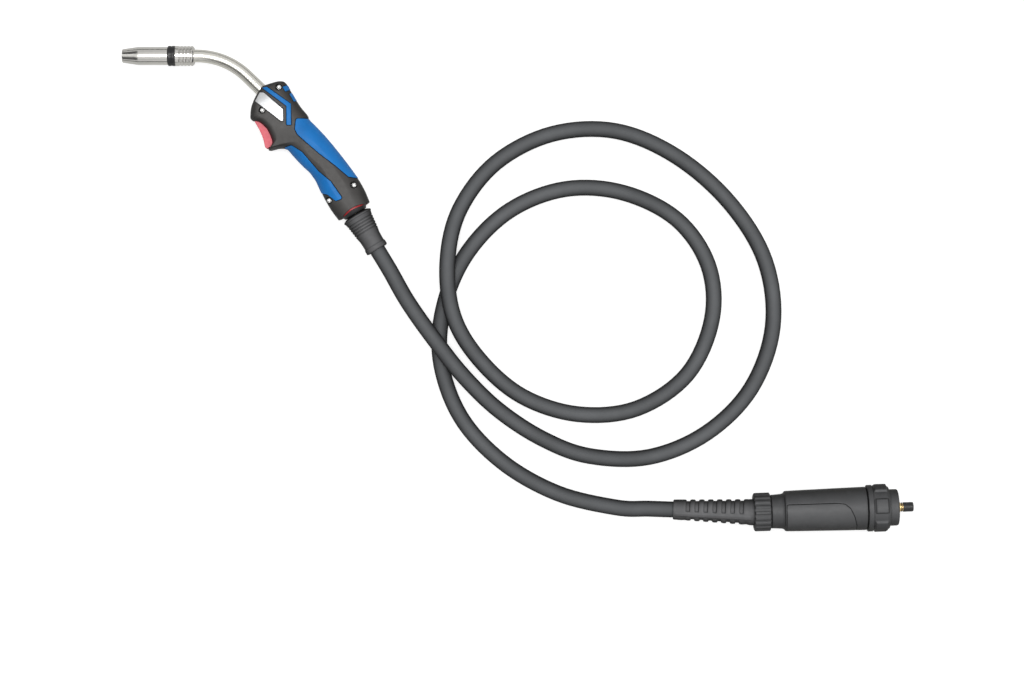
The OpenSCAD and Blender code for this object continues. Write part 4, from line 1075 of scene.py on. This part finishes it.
def maths(nt, operation, *terms):
    """A maths node of sockets and numbers."""
    node = nt.nodes.new("ShaderNodeMath")
    node.operation = operation
    for socket, term in zip(node.inputs, terms):
        if isinstance(term, bpy.types.NodeSocket):
            nt.links.new(term, socket)
        else:
            socket.default_value = term
    return node.outputs[0]


def floor_material():
    mat = bpy.data.materials.new("pale_floor")
    mat.use_nodes = True
    nt = mat.node_tree
    nt.nodes.clear()
    out = nt.nodes.new("ShaderNodeOutputMaterial")
    diffuse = nt.nodes.new("ShaderNodeBsdfDiffuse")
    glow = nt.nodes.new("ShaderNodeEmission")
    glow.inputs["Color"].default_value = (1, 1, 1, 1)
    ray = nt.nodes.new("ShaderNodeLightPath")
    # Polished and glossy surfaces mirror a quieter floor than the one that is seen
    tone = nt.nodes.new("ShaderNodeMix")
    tone.data_type = "RGBA"
    tone.inputs[6].default_value = (0.5, 0.5, 0.5, 1)
    tone.inputs[7].default_value = (0.42, 0.42, 0.41, 1)
    nt.links.new(ray.outputs["Is Glossy Ray"], tone.inputs[0])
    nt.links.new(tone.outputs[2], diffuse.inputs["Color"])
    mirrored = maths(nt, "MAXIMUM", ray.outputs["Is Glossy Ray"], ray.outputs["Is Transmission Ray"])
    seen = maths(nt, "MULTIPLY_ADD", mirrored, MIRRORED_GLOW, ray.outputs["Is Camera Ray"])
    nt.links.new(maths(nt, "MULTIPLY", seen, FLOOR_GLOW), glow.inputs["Strength"])
    add = nt.nodes.new("ShaderNodeAddShader")
    nt.links.new(diffuse.outputs[0], add.inputs[0])
    nt.links.new(glow.outputs[0], add.inputs[1])
    nt.links.new(add.outputs[0], out.inputs["Surface"])
    return mat


floor_mesh = bpy.data.meshes.new("floor")
floor_mesh.from_pydata([(-12, -12, 0), (12, -12, 0), (12, 12, 0), (-12, 12, 0)], [], [(0, 1, 2, 3)])
floor_mesh.materials.append(floor_material())
floor = raw(floor_mesh, "floor")
floor.location = (0.2, -0.19, -0.0002)

# The studio's greys by height, from straight below to straight above
GREYS = ((0.11, 0.08), (0.24, 0.62), (0.5, 0.85), (0.66, 0.58), (0.8, 0.95))
LOWEST_GREY, HIGHEST_GREY = (0.05, 0.05, 0.05, 1), (0.85, 0.85, 0.84, 1)
CARD_GREY = (0.03, 0.03, 0.03, 1)
STUDIO_LEVEL = 0.9


def studio():
    """A world that is white to the camera, and a studio of soft greys to all that it lights."""
    world = bpy.data.worlds.new("studio")
    world.use_nodes = True
    nt = world.node_tree
    nt.nodes.clear()
    coord = nt.nodes.new("ShaderNodeTexCoord")
    split = nt.nodes.new("ShaderNodeSeparateXYZ")
    nt.links.new(coord.outputs["Generated"], split.inputs[0])
    ramp = nt.nodes.new("ShaderNodeValToRGB")
    stops = ramp.color_ramp.elements
    stops[0].position, stops[0].color = 0.0, LOWEST_GREY
    stops[1].position, stops[1].color = 1.0, HIGHEST_GREY
    for at, level in GREYS:
        stops.new(at).color = (level, level, level, 1)
    nt.links.new(split.outputs["Z"], ramp.inputs["Fac"])

    def ranged(value, a, b, lo, hi):
        node = nt.nodes.new("ShaderNodeMapRange")
        node.interpolation_type = "SMOOTHSTEP"
        for socket, number in (("From Min", a), ("From Max", b), ("To Min", lo), ("To Max", hi)):
            node.inputs[socket].default_value = number
        nt.links.new(value, node.inputs["Value"])
        return node.outputs[0]

    # A dark card beyond the nozzle's end, half way up
    height = maths(nt, "MULTIPLY", ranged(split.outputs["Z"], 0.35, 0.5, 0, 1),
                   ranged(split.outputs["Z"], 0.82, 0.92, 1, 0))
    card = maths(nt, "MULTIPLY", height, ranged(split.outputs["X"], -0.3, -0.12, 0.9, 0))
    shade = nt.nodes.new("ShaderNodeMix")
    shade.data_type = "RGBA"
    nt.links.new(card, shade.inputs[0])
    nt.links.new(ramp.outputs["Color"], shade.inputs[6])
    shade.inputs[7].default_value = CARD_GREY
    greys = nt.nodes.new("ShaderNodeBackground")
    greys.inputs["Strength"].default_value = STUDIO_LEVEL
    nt.links.new(shade.outputs[2], greys.inputs["Color"])
    white = nt.nodes.new("ShaderNodeBackground")
    white.inputs["Color"].default_value = (1, 1, 1, 1)
    white.inputs["Strength"].default_value = 1.0
    ray = nt.nodes.new("ShaderNodeLightPath")
    mixer = nt.nodes.new("ShaderNodeMixShader")
    nt.links.new(ray.outputs["Is Camera Ray"], mixer.inputs[0])
    nt.links.new(greys.outputs[0], mixer.inputs[1])
    nt.links.new(white.outputs[0], mixer.inputs[2])
    out = nt.nodes.new("ShaderNodeOutputWorld")
    nt.links.new(mixer.outputs[0], out.inputs["Surface"])
    return world


bpy.context.scene.world = studio()


def lamp(name, place_at, aim, size, power):
    """A square lamp at a place, turned to where it aims."""
    data = bpy.data.lights.new(name, "AREA")
    data.shape, data.size, data.energy = "SQUARE", size, power
    ob = raw(data, name)
    ob.location = place_at
    ob.rotation_euler = (Vector(aim) - Vector(place_at)).to_track_quat("-Z", "Y").to_euler()


lamp("key", (0.1, 0.05, 3.9), (0.2, -0.19, 0), 1.4, 78)
lamp("fill_left", (-1.7, 0.6, 1.9), (0.1, -0.15, 0), 1.0, 4)
lamp("fill_right", (2.0, -0.9, 1.8), (0.3, -0.2, 0), 1.0, 3)
bpy.context.scene.view_settings.view_transform = "Standard"
